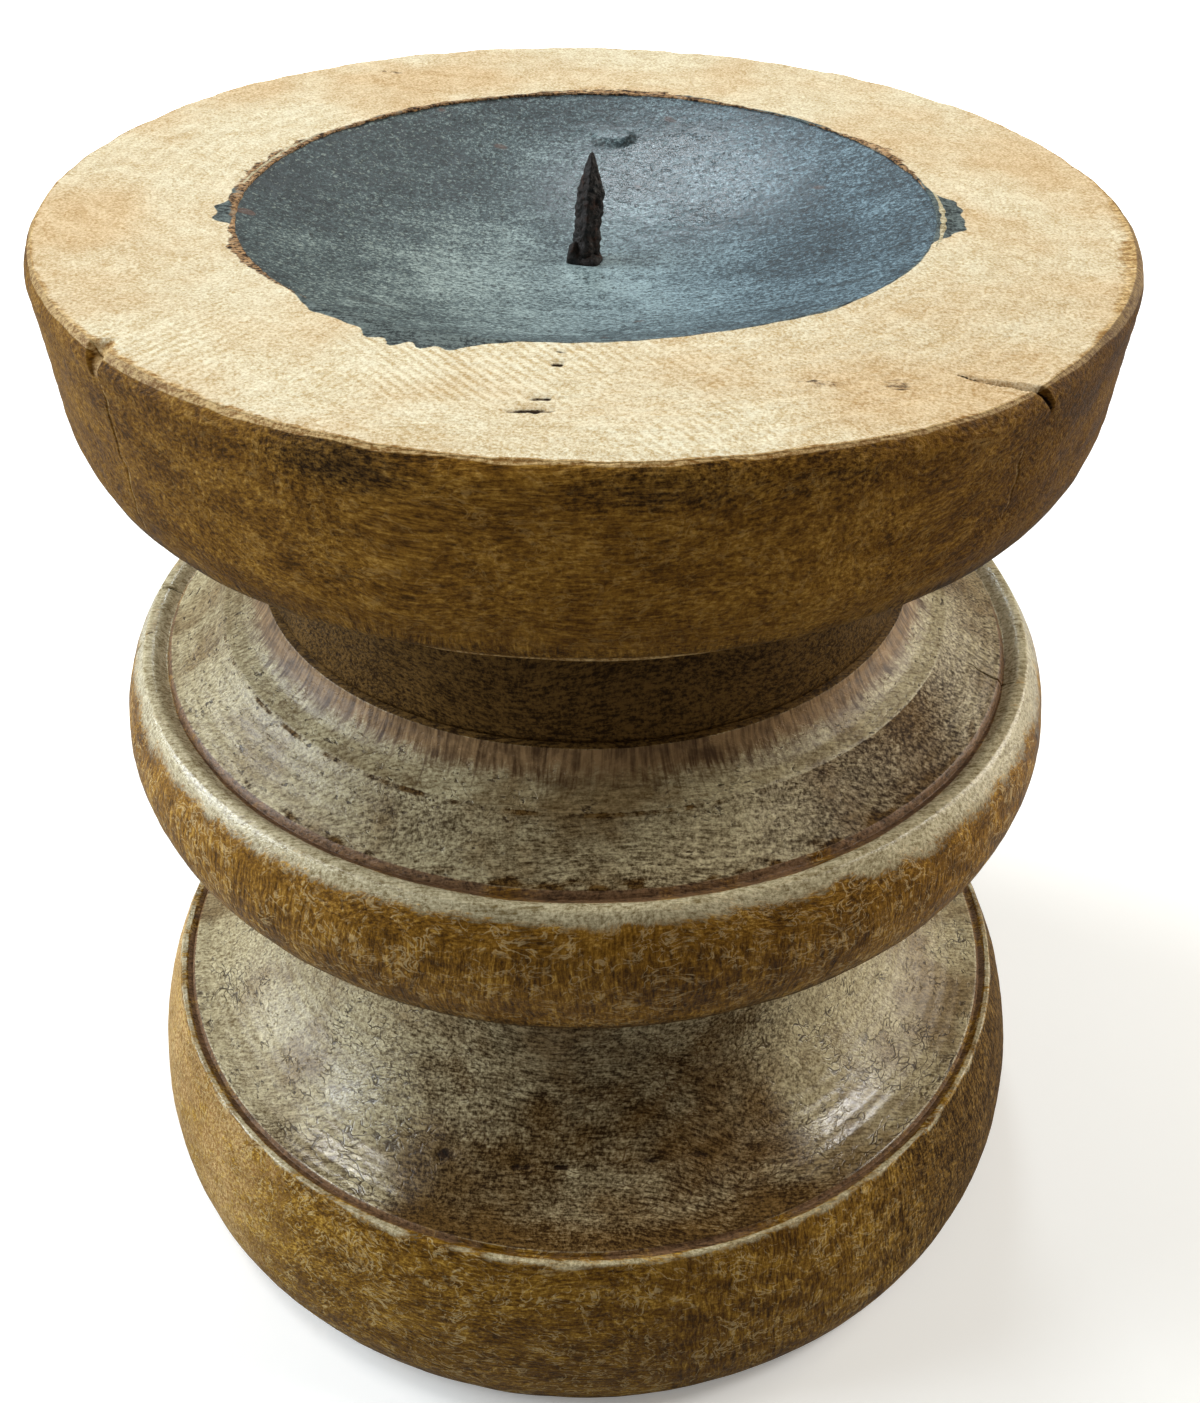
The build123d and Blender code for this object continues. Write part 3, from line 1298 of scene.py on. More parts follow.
@dataclass
class TurnedBlock(ABC):
    """A lathe-turned block of wood that stands for one node of the frame."""

    node: str
    finish: TurnedWood
    flaws: tuple[Flaw, ...] = ()
    pits: tuple[Pit, ...] = ()
    # Steps about the axis, and along the outline on open surfaces and at edges
    steps: int = 640
    step: float = 0.75 * MM
    fine_step: float = 0.25 * MM
    # Heights of the unevenness: out of round, turning marks, small dents and torn fibres
    wobble: float = 0.35 * MM
    ripple: float = 0.05 * MM
    dent: float = 0.16 * MM
    tear: float = 0.35 * MM
    seed: float = 0.0
    # Bottom of a groove from its inner lip in groove widths, and the dowels' sockets
    groove_lean: float = 0.3
    socket_radius: float = 14.1 * MM
    socket_depth: float = 21.0 * MM

    def __post_init__(self) -> None:
        """Reads the node's box from the frame."""
        low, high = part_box(self.node)
        self.bottom, self.top, self.radius = low.z, high.z, high.x

    @abstractmethod
    def outline(self) -> Outline:
        """Draws the block's outline."""

    @abstractmethod
    def marks(self, station: Station, azimuth: float) -> Marks:
        """Names the zones that depend on the place about the axis.

        Args:
            station: Place along the outline.
            azimuth: Degrees about the axis.

        Returns:
            Weights of those zones.
        """

    def drop(self, station: Station, azimuth: float) -> float:
        """Gives how far a place lies below the outline, such as on a worn rim."""
        return 0.0

    def inset(self, station: Station, azimuth: float) -> float:
        """Gives how far a place lies nearer the axis than the outline does."""
        return 0.0

    def ring(self, azimuth: float) -> Vector:
        """Gives the place at an azimuth on the block's widest circle."""
        turn = math.radians(azimuth)
        return Vector((math.cos(turn), math.sin(turn), 0.0)) * self.radius

    def aside(self, azimuth: float) -> float:
        """Gives how far to the right an azimuth lies, from -1 to 1."""
        return self.ring(azimuth).x / self.radius

    def about(self, weight: Patchy, azimuth: float) -> float:
        """Gives a patchy weight at an azimuth, the same all along the outline."""
        return weight.at(self.ring(azimuth), self.seed)

    def over(self, weight: Patchy, station: Station, azimuth: float) -> float:
        """Gives a patchy weight on the surface, in patches that are longer about the axis.

        Args:
            weight: The weight.
            station: Place along the outline.
            azimuth: Degrees about the axis.

        Returns:
            The weight there.
        """
        place = self.ring(azimuth)
        place.z = PATCH_SQUASH * station.along
        return weight.at(place, self.seed)

    def upper_socket(self) -> Outline:
        """Starts the outline at the socket in the block's top.

        Returns:
            The outline so far.
        """
        line = Outline((0.0, self.top - self.socket_depth))
        line.line((self.socket_radius, self.top - self.socket_depth), Zone.HIDDEN, HIDDEN_STEP)
        return line.line((self.socket_radius, self.top), Zone.HIDDEN, HIDDEN_STEP)

    def lower_socket(self, line: Outline, step: float) -> Outline:
        """Ends the outline at the socket in the block's underside.

        Args:
            line: The outline so far.
            step: Distance between stations on the underside.

        Returns:
            The finished outline.
        """
        line.line((self.socket_radius, self.bottom), Zone.SHADE, step)
        line.line((self.socket_radius, self.bottom + self.socket_depth), Zone.HIDDEN, HIDDEN_STEP)
        return line.line((0.0, self.bottom + self.socket_depth), Zone.HIDDEN, HIDDEN_STEP)

    def azimuths(self) -> list[float]:
        """Lists the steps about the axis, closer together at the flaws.

        Returns:
            Degrees, in rising order.
        """
        turns = {round(FULL_CIRCLE * i / self.steps, TURN_DIGITS) for i in range(self.steps)}
        for flaw in self.flaws:
            reach = math.degrees(FLAW_MARGIN * (flaw.width + flaw.wander) / self.radius)
            reach += abs(flaw.slant) * max(-flaw.first, flaw.last)
            turns |= turns_near(flaw.azimuth, reach, FLAW_STEPS)
        for pit in self.pits:
            reach = math.degrees(PIT_MARGIN * pit.long / math.hypot(pit.across, pit.back))
            turns |= turns_near(math.degrees(math.atan2(pit.back, pit.across)), reach, PIT_STEPS)
        return sorted(turns)

    def build(self) -> bpy.types.Object:
        """Builds the block's mesh and dresses it.

        Returns:
            The piece.
        """
        stations, turns = self.outline().stations(), self.azimuths()
        zones = (Zone.COMBED, Zone.POLISH, Zone.DIM, *self.finish.zones)
        values: dict[Zone, list[float]] = {zone: [] for zone in zones}
        points: list[Vector] = []
        rows: list[list[int]] = []
        lathe: list[float] = []
        for station, weights in zip(stations, self.zone_weights(stations)):
            row = []
            for azimuth in turns[:1] if station.radius < POLE_RADIUS else turns:
                marks = self.marks(station, azimuth)
                place = self.spot(station, azimuth, marks)
                for zone in zones:
                    values[zone].append(marks[zone] if zone in marks else weights.get(zone, 0.0))
                row.append(len(points))
                points.append(place)
                turn = math.radians(azimuth)
                lathe += (LATHE_RADIUS * math.cos(turn), LATHE_RADIUS * math.sin(turn), station.along)
            rows.append(row)
        piece = make_piece(self.node + "_shape", points, grid_faces(rows))
        piece.data.attributes.new(LATHE_PLACE, "FLOAT_VECTOR", "POINT").data.foreach_set("vector", lathe)
        for zone, numbers in values.items():
            piece.data.attributes.new(zone.value, "FLOAT", "POINT").data.foreach_set("value", numbers)
        dress(piece, self.finish.make(), self.node)
        return piece

    def zone_weights(self, stations: Sequence[Station]) -> list[Marks]:
        """Blurs each zone a little along the outline.

        Args:
            stations: The outline's stations.

        Returns:
            Weights of the zones at each station.
        """
        made = []
        for here in stations:
            total, weights = 0.0, {}
            for i, other in enumerate(stations):
                gap = abs(other.along - here.along) / ZONE_BLUR
                if gap > BLUR_CUT:
                    continue
                width = stations[min(i + 1, len(stations) - 1)].along - stations[max(i - 1, 0)].along
                share = width * math.exp(-0.5 * gap ** 2)
                total += share
                weights[other.zone] = weights.get(other.zone, 0.0) + share
            blurred = {zone: share / total for zone, share in weights.items()} if total else {}
            made.append(blurred or {here.zone: 1.0})
        return made

    def spot(self, station: Station, azimuth: float, marks: Marks) -> Vector:
        """Places one vertex, and marks the flaws that it is in.

        Args:
            station: Place along the outline.
            azimuth: Degrees about the axis.
            marks: Weights of the zones there, to which the flaws are added.

        Returns:
            The vertex.
        """
        turn = math.radians(azimuth)
        heading = Vector((math.cos(turn), math.sin(turn), 0.0))
        place = heading * (station.radius - self.inset(station, azimuth)) + Vector((0.0, 0.0, station.height))
        if station.zone is Zone.HIDDEN:
            return place
        push = self.wobble * bumps(place, WOBBLE_SIZE, self.seed) * abs(station.outward[0])
        push += self.ripple * math.sin(station.along / RIPPLE_PITCH + RIPPLE_STRAY.at(place, self.seed))
        push += self.dent * DENTS.at(place, self.seed)
        push += self.tear * marks.get(Zone.TORN, 0.0) * bumps(place, TEAR_SIZE, self.seed)
        for flaw in self.flaws:
            depth, weight = flaw.weight(station, azimuth)
            push -= depth
            if weight:
                marks[flaw.zone] = max(marks.get(flaw.zone, 0.0), weight)
        for pit in self.pits:
            weight = pit.weight(station, place)
            push -= pit.depth * weight
            if weight:
                marks[Zone.GAP] = max(marks.get(Zone.GAP, 0.0), weight)
        lean = heading * station.outward[0] + Vector((0.0, 0.0, station.outward[1]))
        place += lean * push
        place.z = max(place.z - self.drop(station, azimuth), self.bottom)
        return place


@dataclass
class FootBlock(TurnedBlock):
    """The foot: a rounded plinth under a deep cove that rises to the waist."""

    floor_inset: float = 3.7 * MM
    widest_height: float = 12.0 * MM
    shoulder_height: float = 41.0 * MM
    shoulder_inset: float = 6.9 * MM
    land: float = 0.9 * MM
    groove_width: float = 1.9 * MM
    groove_depth: float = 0.9 * MM
    waist_radius: float = 57.0 * MM
    waist_length: float = 8.5 * MM
    cove_stretch: float = 1.6
    hollow_radius: float = 62.0 * MM
    hollow_depth: float = 2.0 * MM
    # Stain of the groove, wear of the plinth beside it, and painted light on the plinth's left, where the
    # wood is paler too, and painted shade on its right
    groove_side: Ease = Ease(-0.1, 0.3)
    groove_stain: Patchy = Patchy(0.55, 0.4, 16.0 * MM, 0.25, 4.0 * MM)
    crest_wear: Patchy = Patchy(0.46, 0.2, 12.0 * MM, 0.15, 4.0 * MM, 1.0)
    lip_wear: Patchy = Patchy(0.36, 0.5, 6.0 * MM, shift=2.0)
    lip_reach: float = 2.5 * MM
    painted_light: Sector = Sector(215.0, 95.0, 50.0)
    left_light_and_pale_wood: Ease = Ease(-0.3, -0.85, 0.0, 0.47)
    left_patches: Patchy = Patchy(0.0, 0.15, 25.0 * MM, shift=4.0)
    right_combed: Ease = Ease(-0.1, 0.45)
    right_shade: Ease = Ease(0.15, 0.85, 0.0, 0.52)
    # Darkening of the cove: in patches all over, stain towards the back and near the groove, and painted
    # shade towards the front under the ring
    front: Sector = Sector(272.0, 80.0, 15.0)
    back: Sector = Sector(272.0, 100.0, 150.0, 0.24)
    cove_shade: Patchy = Patchy(0.14, 0.06, 30.0 * MM, 0.07, 9.0 * MM)
    front_shade: float = 0.36
    waist_relief: float = 0.1
    margin_shade: float = 0.1
    margin_width: float = 9.0 * MM
    # Polished places of the cove, which also lift the painted shade there: azimuth, distance from the axis
    # and size
    polished: tuple[Triple, ...] = ((236.0, 82.0 * MM, 20.0 * MM), (312.0, 79.0 * MM, 20.0 * MM))
    polish_patches: Patchy = Patchy(0.0, 0.2, 7.0 * MM, shift=8.0)
    polish_edge: Ease = Ease(0.0, 0.7)
    polish_relief: float = 0.25

    def __post_init__(self) -> None:
        """Works out the radius of the groove's outer lip."""
        super().__post_init__()
        self.groove_out = self.radius - self.shoulder_inset - self.land

    def outline(self) -> Outline:
        """Draws the foot from its socket, down the cove and the plinth, to the floor.

        Returns:
            The outline.
        """
        groove_in = self.groove_out - self.groove_width
        spring = self.top - self.waist_length
        line = self.upper_socket()
        line.line((self.waist_radius, self.top), Zone.SHADE, JOINT_STEP)
        line.line((self.waist_radius, spring), Zone.SHADE, self.step)
        across, up = groove_in - self.waist_radius, spring - self.shoulder_height
        count = math.ceil(self.cove_stretch * max(across, up) / self.step)
        for i in range(1, count + 1):
            turn = QUARTER_TURN * i / count
            spot = (groove_in - across * math.cos(turn), spring - up * math.sin(turn))
            line.points.append((spot, Zone.AGED))
        deepest = (groove_in + self.groove_lean * self.groove_width, self.shoulder_height - self.groove_depth)
        line.line(deepest, Zone.GROOVE, self.fine_step)
        line.line((self.groove_out, self.shoulder_height), Zone.CREST, self.fine_step)
        line.line((self.groove_out + self.land, self.shoulder_height), Zone.CREST, self.fine_step)
        line.measure_from_here()
        line.arc_into((self.radius, self.widest_height), DOWN, Zone.SIDE, self.step)
        line.arc((self.radius - self.floor_inset, 0.0), DOWN, Zone.SIDE, self.step)
        line.line((self.hollow_radius, 0.0), Zone.HIDDEN, FLOOR_STEP)
        line.line((self.hollow_radius, self.hollow_depth), Zone.HIDDEN, FLOOR_STEP)
        return line.line((0.0, self.hollow_depth), Zone.HIDDEN, JOINT_STEP)

    def marks(self, station: Station, azimuth: float) -> Marks:
        """Stains the groove, paints light on the plinth's left and shade on its right, and darkens the cove.

        Args:
            station: Place along the outline.
            azimuth: Degrees about the axis.

        Returns:
            Weights of the zones that change about the axis.
        """
        if station.zone in (Zone.GROOVE, Zone.CREST):
            deep = self.groove_side.at((self.groove_out - station.radius) / self.groove_width)
            return {Zone.GROOVE: max(0.0, self.about(self.groove_stain, azimuth)) * deep,
                    Zone.CREST: max(0.0, self.about(self.crest_wear, azimuth)) * (1.0 - deep)}
        if station.zone is Zone.SIDE:
            pale = max(0.0, self.about(self.lip_wear, azimuth))
            pale *= smooth_share(self.shoulder_height - self.lip_reach, self.shoulder_height, station.height)
            # Painted light makes the plinth paler on its left, with paler wood there, and painted shade
            # darker on its right
            aside = self.aside(azimuth)
            light_and_pale_wood = self.left_light_and_pale_wood.at(aside) + self.about(self.left_patches, azimuth)
            light_and_pale_wood *= self.painted_light.share(azimuth)
            return {Zone.CREST: pale, Zone.COMBED: self.right_combed.at(aside), Zone.WORN: max(0.0, light_and_pale_wood),
                    Zone.SHADE: self.right_shade.at(aside)}
        return self.cove_marks(station, azimuth) if station.zone is Zone.AGED else {}

    def cove_marks(self, station: Station, azimuth: float) -> Marks:
        """Darkens the cove with painted shade towards the front, under the ring, and with stain towards the
        back, and polishes it in places, where the painted shade is lifted.

        Args:
            station: Place along the outline.
            azimuth: Degrees about the axis.

        Returns:
            Weights of the cove's zones.
        """
        high = smooth_share(self.shoulder_height, self.top - self.waist_length, station.height)
        margin = smooth_share(
            self.groove_out - self.margin_width, self.groove_out - self.groove_width, station.radius)
        here = self.ring(azimuth) * (station.radius / self.radius)
        bright = max(1.0 - (here - self.ring(where) * (radius / self.radius)).length / size
                     for where, radius, size in self.polished)
        bright = self.polish_edge.at(bright + self.over(self.polish_patches, station, azimuth))
        shade = self.over(self.cove_shade, station, azimuth)
        # Painted shade towards the front under the ring, less of it up at the waist; the polished places lift
        # it so their sheen shows paler
        shade += (self.front_shade - self.waist_relief * high) * self.front.share(azimuth)
        shade += self.back.share(azimuth) + self.margin_shade * margin
        shade *= 1.0 - self.polish_relief * bright
        return {Zone.SHADE: max(0.0, shade), Zone.POLISH: bright}


@dataclass
class RingBlock(TurnedBlock):
    """The ring: a fat roll with a groove inside its bead and a collar under the neck."""

    under_inset: float = 11.7 * MM
    widest_height: float = 19.0 * MM
    bead_height: float = 32.6 * MM
    bead_inset: float = 4.7 * MM
    land: float = 1.9 * MM
    land_crown: float = 0.25 * MM
    groove_width: float = 3.2 * MM
    groove_depth: float = 1.3 * MM
    slope_sag: float = 0.5 * MM
    collar_width: float = 8.1 * MM
    collar_drop: float = 6.6 * MM
    collar_sag: float = 1.3 * MM
    seat_radius: float = 61.5 * MM
    # Stretches that face the photograph's viewer and the far side
    front: Sector = Sector(275.0, 85.0, 20.0)
    back: Sector = Sector(275.0, 100.0, 150.0, 0.2)
    # How far the bead's wear runs down the side, and the side's own marks, with painted shade under the roll
    bead_fade: float = 3.0 * MM
    side_fade: float = 3.0 * MM
    right_side: Sector = Sector(345.0, 70.0, 25.0, 0.8)
    fade_patches: Patchy = Patchy(1.0, 0.3, 18.0 * MM, 0.2, 5.0 * MM)
    bead_wear: Ease = Ease(1.6, -0.4, 0.0, 0.8)
    underside_shade: float = 0.75
    combed: Ease = Ease(3.0 * MM, 14.0 * MM, 0.3, 0.9)
    # Stain of the collar, with a worn ridge as shares of its height
    collar_stain: float = 0.28
    seam_stain: float = 0.46
    ridge_start: Ease = Ease(0.02, 0.1)
    ridge_end: Ease = Ease(0.3, 0.18)
    ridge_wear: Patchy = Patchy(0.15, 0.25, 14.0 * MM, shift=6.0)
    # Wear of the bead, and stain of the groove with a dark line at its inner lip
    bead_crest: Patchy = Patchy(0.62, 0.25, 9.0 * MM, shift=9.0)
    groove_stain: Patchy = Patchy(0.62, 0.35, 18.0 * MM, 0.25, 4.0 * MM)
    brown_base: float = 0.35
    brown_front: float = 0.6
    brown_edge: Ease = Ease(0.85, 1.25)
    lip_crack: Patchy = Patchy(0.25, 0.5, 9.0 * MM, shift=3.0)
    lip_base: float = 0.35
    lip_front: float = 0.65
    lip_edge: Ease = Ease(0.75, 0.95)
    lip_limit: float = 0.8
    # Darkening of the slope: painted shade towards the front under the cup and at the right, stain at the
    # back and in patches, with a turned line at the collar and torn fibres at the groove
    foot_stain: float = 0.24
    foot_reach: float = 6.0 * MM
    line_offset: float = 0.6 * MM
    line_edge: Ease = Ease(0.6 * MM, 0.2 * MM)
    line_wear: Patchy = Patchy(0.45, 0.3, 9.0 * MM, 0.25, 2.5 * MM, 5.0)
    line_stretch: Sector = Sector(245.0, 75.0, 40.0)
    torn_reach: Ease = Ease(2.2 * MM, 0.4 * MM)
    torn_patches: Patchy = Patchy(0.05, 0.6, 4.0 * MM, shift=3.0)
    right_slope: Sector = Sector(345.0, 60.0, 20.0, 0.25)
    slope_shade: Patchy = Patchy(0.1, 0.1, 25.0 * MM)
    front_shade: float = 0.28

    def __post_init__(self) -> None:
        """Works out the bead's level and the radii of the groove's lips."""
        super().__post_init__()
        self.bead_level = self.bottom + self.bead_height
        self.groove_out = self.radius - self.bead_inset - self.land
        self.groove_in = self.groove_out - self.groove_width

    def outline(self) -> Outline:
        """Draws the ring from its upper socket, down the collar and the roll, to its lower socket.

        Returns:
            The outline.
        """
        line = self.upper_socket()
        line.line((self.seat_radius, self.top), Zone.SHADE, HIDDEN_STEP)
        collar_foot = (self.seat_radius + self.collar_width, self.top - self.collar_drop)
        line.bow(collar_foot, -self.collar_sag, Zone.COLLAR, 2.0 * self.fine_step)
        line.bow((self.groove_in, self.bead_level), -self.slope_sag, Zone.AGED, 2.0 * self.fine_step)
        deepest = (self.groove_in + self.groove_lean * self.groove_width, self.bead_level - self.groove_depth)
        line.line(deepest, Zone.GROOVE, self.fine_step)
        line.line((self.groove_out, self.bead_level), Zone.CREST, self.fine_step)
        bead = (self.radius - self.bead_inset, self.bead_level)
        line.bow(bead, self.land_crown, Zone.CREST, self.fine_step)
        line.measure_from_here()
        line.arc_into((self.radius, self.bottom + self.widest_height), DOWN, Zone.SIDE, self.step)
        line.arc((self.radius - self.under_inset, self.bottom), DOWN, Zone.SIDE, self.step)
        return self.lower_socket(line, UNDER_STEP)

    def marks(self, station: Station, azimuth: float) -> Marks:
        """Picks the marks for the kind of surface.

        Args:
            station: Place along the outline.
            azimuth: Degrees about the axis.

        Returns:
            Weights of the zones that change about the axis.
        """
        if station.zone is Zone.SIDE:
            return self.side_marks(station, azimuth)
        if station.zone is Zone.COLLAR:
            return self.collar_marks(station, azimuth)
        if station.zone in (Zone.GROOVE, Zone.CREST):
            return self.groove_marks(station, azimuth)
        return self.slope_marks(station, azimuth) if station.zone is Zone.AGED else {}

    def side_marks(self, station: Station, azimuth: float) -> Marks:
        """Fades the pale bead into the side, and darkens the roll's underside with painted shade.

        Args:
            station: Place along the outline.
            azimuth: Degrees about the axis.

        Returns:
            Weights of the side's zones.
        """
        below = self.bead_level - station.height
        farther = 1.0 - self.front.share(azimuth) + self.right_side.share(azimuth)
        fade = (self.bead_fade + farther * self.side_fade) * self.about(self.fade_patches, azimuth)
        # Painted shade on the roll's underside
        underside_shade = smooth_share(self.bottom + self.widest_height, self.bottom, station.height)
        return {Zone.CREST: self.bead_wear.at(below / fade), Zone.SHADE: self.underside_shade * underside_shade,
                Zone.COMBED: self.combed.at(below)}

    def collar_marks(self, station: Station, azimuth: float) -> Marks:
        """Stains the collar towards the seam, and wears a ridge near its foot.

        Args:
            station: Place along the outline.
            azimuth: Degrees about the axis.

        Returns:
            Weights of the collar's zones.
        """
        share = smooth_share(self.top - self.collar_drop, self.top, station.height)
        ridge = self.ridge_start.at(share) * self.ridge_end.at(share) * self.about(self.ridge_wear, azimuth)
        return {Zone.AGED: 1.0, Zone.COLLAR: self.collar_stain + self.seam_stain * share, Zone.SHADE: 0.0,
                Zone.CREST: max(0.0, ridge)}

    def groove_marks(self, station: Station, azimuth: float) -> Marks:
        """Stains the groove, cracks its inner lip and wears the bead's top.

        Args:
            station: Place along the outline.
            azimuth: Degrees about the axis.

        Returns:
            Weights of the groove's zones.
        """
        share = (self.groove_out - station.radius) / self.groove_width
        if share < 0.0:
            return {Zone.CREST: self.over(self.bead_crest, station, azimuth)}
        front = self.front.share(azimuth)
        deep = self.brown_edge.at(share + self.brown_base + self.brown_front * front)
        lip = (self.lip_base + self.lip_front * front) * self.about(self.lip_crack, azimuth)
        lip *= self.lip_edge.at(share)
        return {Zone.GROOVE: max(0.0, self.about(self.groove_stain, azimuth)) * deep, Zone.CREST: 1.0 - deep,
                Zone.GAP: min(max(lip, 0.0), self.lip_limit)}

    def slope_marks(self, station: Station, azimuth: float) -> Marks:
        """Darkens the slope with painted shade towards the front and the right, and with stain at the back,
        with a turned line at the collar and torn fibres at the groove.

        Args:
            station: Place along the outline.
            azimuth: Degrees about the axis.

        Returns:
            Weights of the slope's zones.
        """
        foot = self.seat_radius + self.collar_width
        near = smooth_share(foot + self.foot_reach, foot, station.radius)
        turned = self.line_edge.at(abs(station.radius - foot - self.line_offset))
        turned *= self.about(self.line_wear, azimuth) * self.line_stretch.share(azimuth)
        torn = self.torn_reach.at(self.groove_in - station.radius)
        torn *= max(0.0, self.over(self.torn_patches, station, azimuth))
        shade = self.over(self.slope_shade, station, azimuth)
        # Painted shade towards the front, under the cup, and at the right; stain at the back
        shade += (self.front_shade + torn) * self.front.share(azimuth)
        shade += self.right_slope.share(azimuth) + self.back.share(azimuth)
        return {Zone.COLLAR: self.foot_stain * near, Zone.SHADE: max(0.0, shade, turned)}


@dataclass
class CupBlock(TurnedBlock):
    """The neck and the cup above it, sawn flat on top, with a hollow for the dish."""

    neck_height: float = 27.8 * MM
    neck_radius: float = 60.3 * MM
    neck_taper: float = 1.5 * MM
    neck_cove: float = 4.0 * MM
    widest_height: float = 37.5 * MM
    turn_height: float = 18.0 * MM
    turn_inset: float = 1.5 * MM
    bend_height: float = 8.0 * MM
    bend_inset: float = 4.9 * MM
    under_inset: float = 13.4 * MM
    under_lift: float = 1.5 * MM
    arris_land: float = 0.9 * MM
    arris_lean: float = 0.3 * MM
    rim_inset: float = 1.6 * MM
    # The hollow for the dish and the hole for the spike
    dish_sphere: float = 163.7 * MM
    dish_rise: float = 151.9 * MM
    seat_radius: float = 58.0 * MM
    seat_steps: int = 12
    edge_width: float = 5.0 * MM
    hollow_depth: float = 12.5 * MM
    dip_fade: float = 12.0 * MM
    hole_radius: float = 2.6 * MM
    hole_depth: float = 36.0 * MM
    # How the rim is tipped and worn
    rim_reach: float = 22.0 * MM
    rim_tip: float = 1.1 * MM
    rim_ragged: float = 0.22 * MM
    rim_patches: Patchy = Patchy(0.0, 1.0, 9.0 * MM, 0.6, 3.0 * MM)
    rim_band: float = 8.0 * MM
    rim_wear: tuple[Bell, ...] = (Bell(311.0, 16.0, 1.5 * MM), Bell(215.0, 18.0, -0.5 * MM))
    # Paint that ran and was smeared over the hollow's edge
    paint_edge: float = 0.45 * MM
    paint_patches: Patchy = Patchy(0.7, 1.4, 20.0 * MM, 0.8, 6.0 * MM)
    paint_blur: float = 0.6 * MM
    smears: tuple[Bell, ...] = (
        Bell(186.0, 4.0, 3.4 * MM, 4), Bell(178.0, 5.0, 1.6 * MM, 4), Bell(247.0, 9.0, 4.0 * MM, 4),
        Bell(232.0, 9.0, 1.5 * MM, 4), Bell(353.0, 9.0, 3.8 * MM, 4), Bell(72.0, 7.0, 1.6 * MM, 4))
    smear_ragged: float = 0.5
    smear_grain: float = 4.0 * MM
    # Fibres torn and edges chipped beside the hollow
    tears: tuple[Bell, ...] = (
        Bell(164.0, 22.0, 4.0 * MM), Bell(25.0, 12.0, 3.0 * MM), Bell(118.0, 14.0, 2.0 * MM),
        Bell(82.0, 18.0, 4.6 * MM), Bell(202.0, 14.0, 3.2 * MM))
    tear_patches: Patchy = Patchy(0.9, 0.4, 5.0 * MM, shift=2.0)
    tear_threads: Patchy = Patchy(0.0, 0.5, 2.0 * MM, shift=2.0)
    tear_core: float = 0.5
    least_tear: float = 0.2 * MM
    torn_shown: float = 0.55
    chips: tuple[Bell, ...] = (Bell(352.0, 11.0, 0.5 * MM, 4), Bell(160.0, 14.0, 0.4 * MM, 4))
    chip_patches: Patchy = Patchy(1.0, 0.8, 3.0 * MM, shift=7.0)
    chip_out: float = 1.1 * MM
    least_chip: float = 0.1 * MM
    # Dirty places on the top: across, back, half length and half width
    smudges: tuple[Quad, ...] = (
        (31.0 * MM, -67.0 * MM, 6.0 * MM, 2.2 * MM), (42.0 * MM, -66.0 * MM, 4.5 * MM, 2.4 * MM),
        (-40.0 * MM, 70.0 * MM, 9.0 * MM, 1.6 * MM))
    smudge_edge: Ease = Ease(0.0, 0.8, 0.0, 0.75)
    smudge_ragged: float = 0.3
    smudge_grain: float = 2.0 * MM
    smudge_seed: float = 5.0
    # The worn band on the rim
    worn_width: float = 0.6 * MM
    worn_patches: Patchy = Patchy(0.6, 0.8, 12.0 * MM)
    worn_bands: tuple[Bell, ...] = (Bell(345.0, 16.0, 4.0 * MM), Bell(225.0, 20.0, 1.5 * MM))
    worn_fade: float = 1.3
    worn_shown: float = 0.55
    # Painted shade low on the side above the bend, more towards its sides, a darker band below the top, and
    # wear of its edges
    beside: Sector = Sector(270.0, 20.0, 75.0, 0.16)
    low_shade: float = 0.46
    low_band: Ease = Ease(12.0 * MM, -2.0 * MM)
    arris_wear: Ease = Ease(0.5 * MM, 0.0, 0.0, 0.75)
    high_shade: Patchy = Patchy(0.14, 0.18, 22.0 * MM, shift=4.0)
    high_front: Sector = Sector(268.0, 52.0, 14.0, 0.26)
    high_band: Ease = Ease(14.0 * MM, 4.0 * MM)
    edge_wear: Patchy = Patchy(0.25 * MM, 0.25 * MM, 6.0 * MM, shift=6.0)
    edge_share: float = 0.4
    edge_blur: float = 0.5 * MM
    edge_shown: float = 0.7
    # Painted shade that dims the side, by the place about the axis and the height above the bend, most at the
    # right
    dim_sides: Sector = Sector(270.0, 5.0, 60.0)
    right_dim: Ease = Ease(-0.4, 0.4, 0.52, 0.88)
    low_dim: Ease = Ease(16.0 * MM, 2.0 * MM, 0.0, 0.34)
    dim_patches: Patchy = Patchy(1.0, 0.3, 18.0 * MM, shift=5.0)

    def __post_init__(self) -> None:
        """Works out the level of the cup's underside and the unevenness of each smear."""
        super().__post_init__()
        self.under = self.bottom + self.neck_height
        self.smear_patches = [Patchy(1.0, self.smear_ragged, self.smear_grain, shift=smear.middle)
                              for smear in self.smears]

    def seat_level(self, radius: float) -> float:
        """Gives the height of the hollow's face at a radius."""
        return self.top + self.dish_rise - math.sqrt(self.dish_sphere ** 2 - radius ** 2)

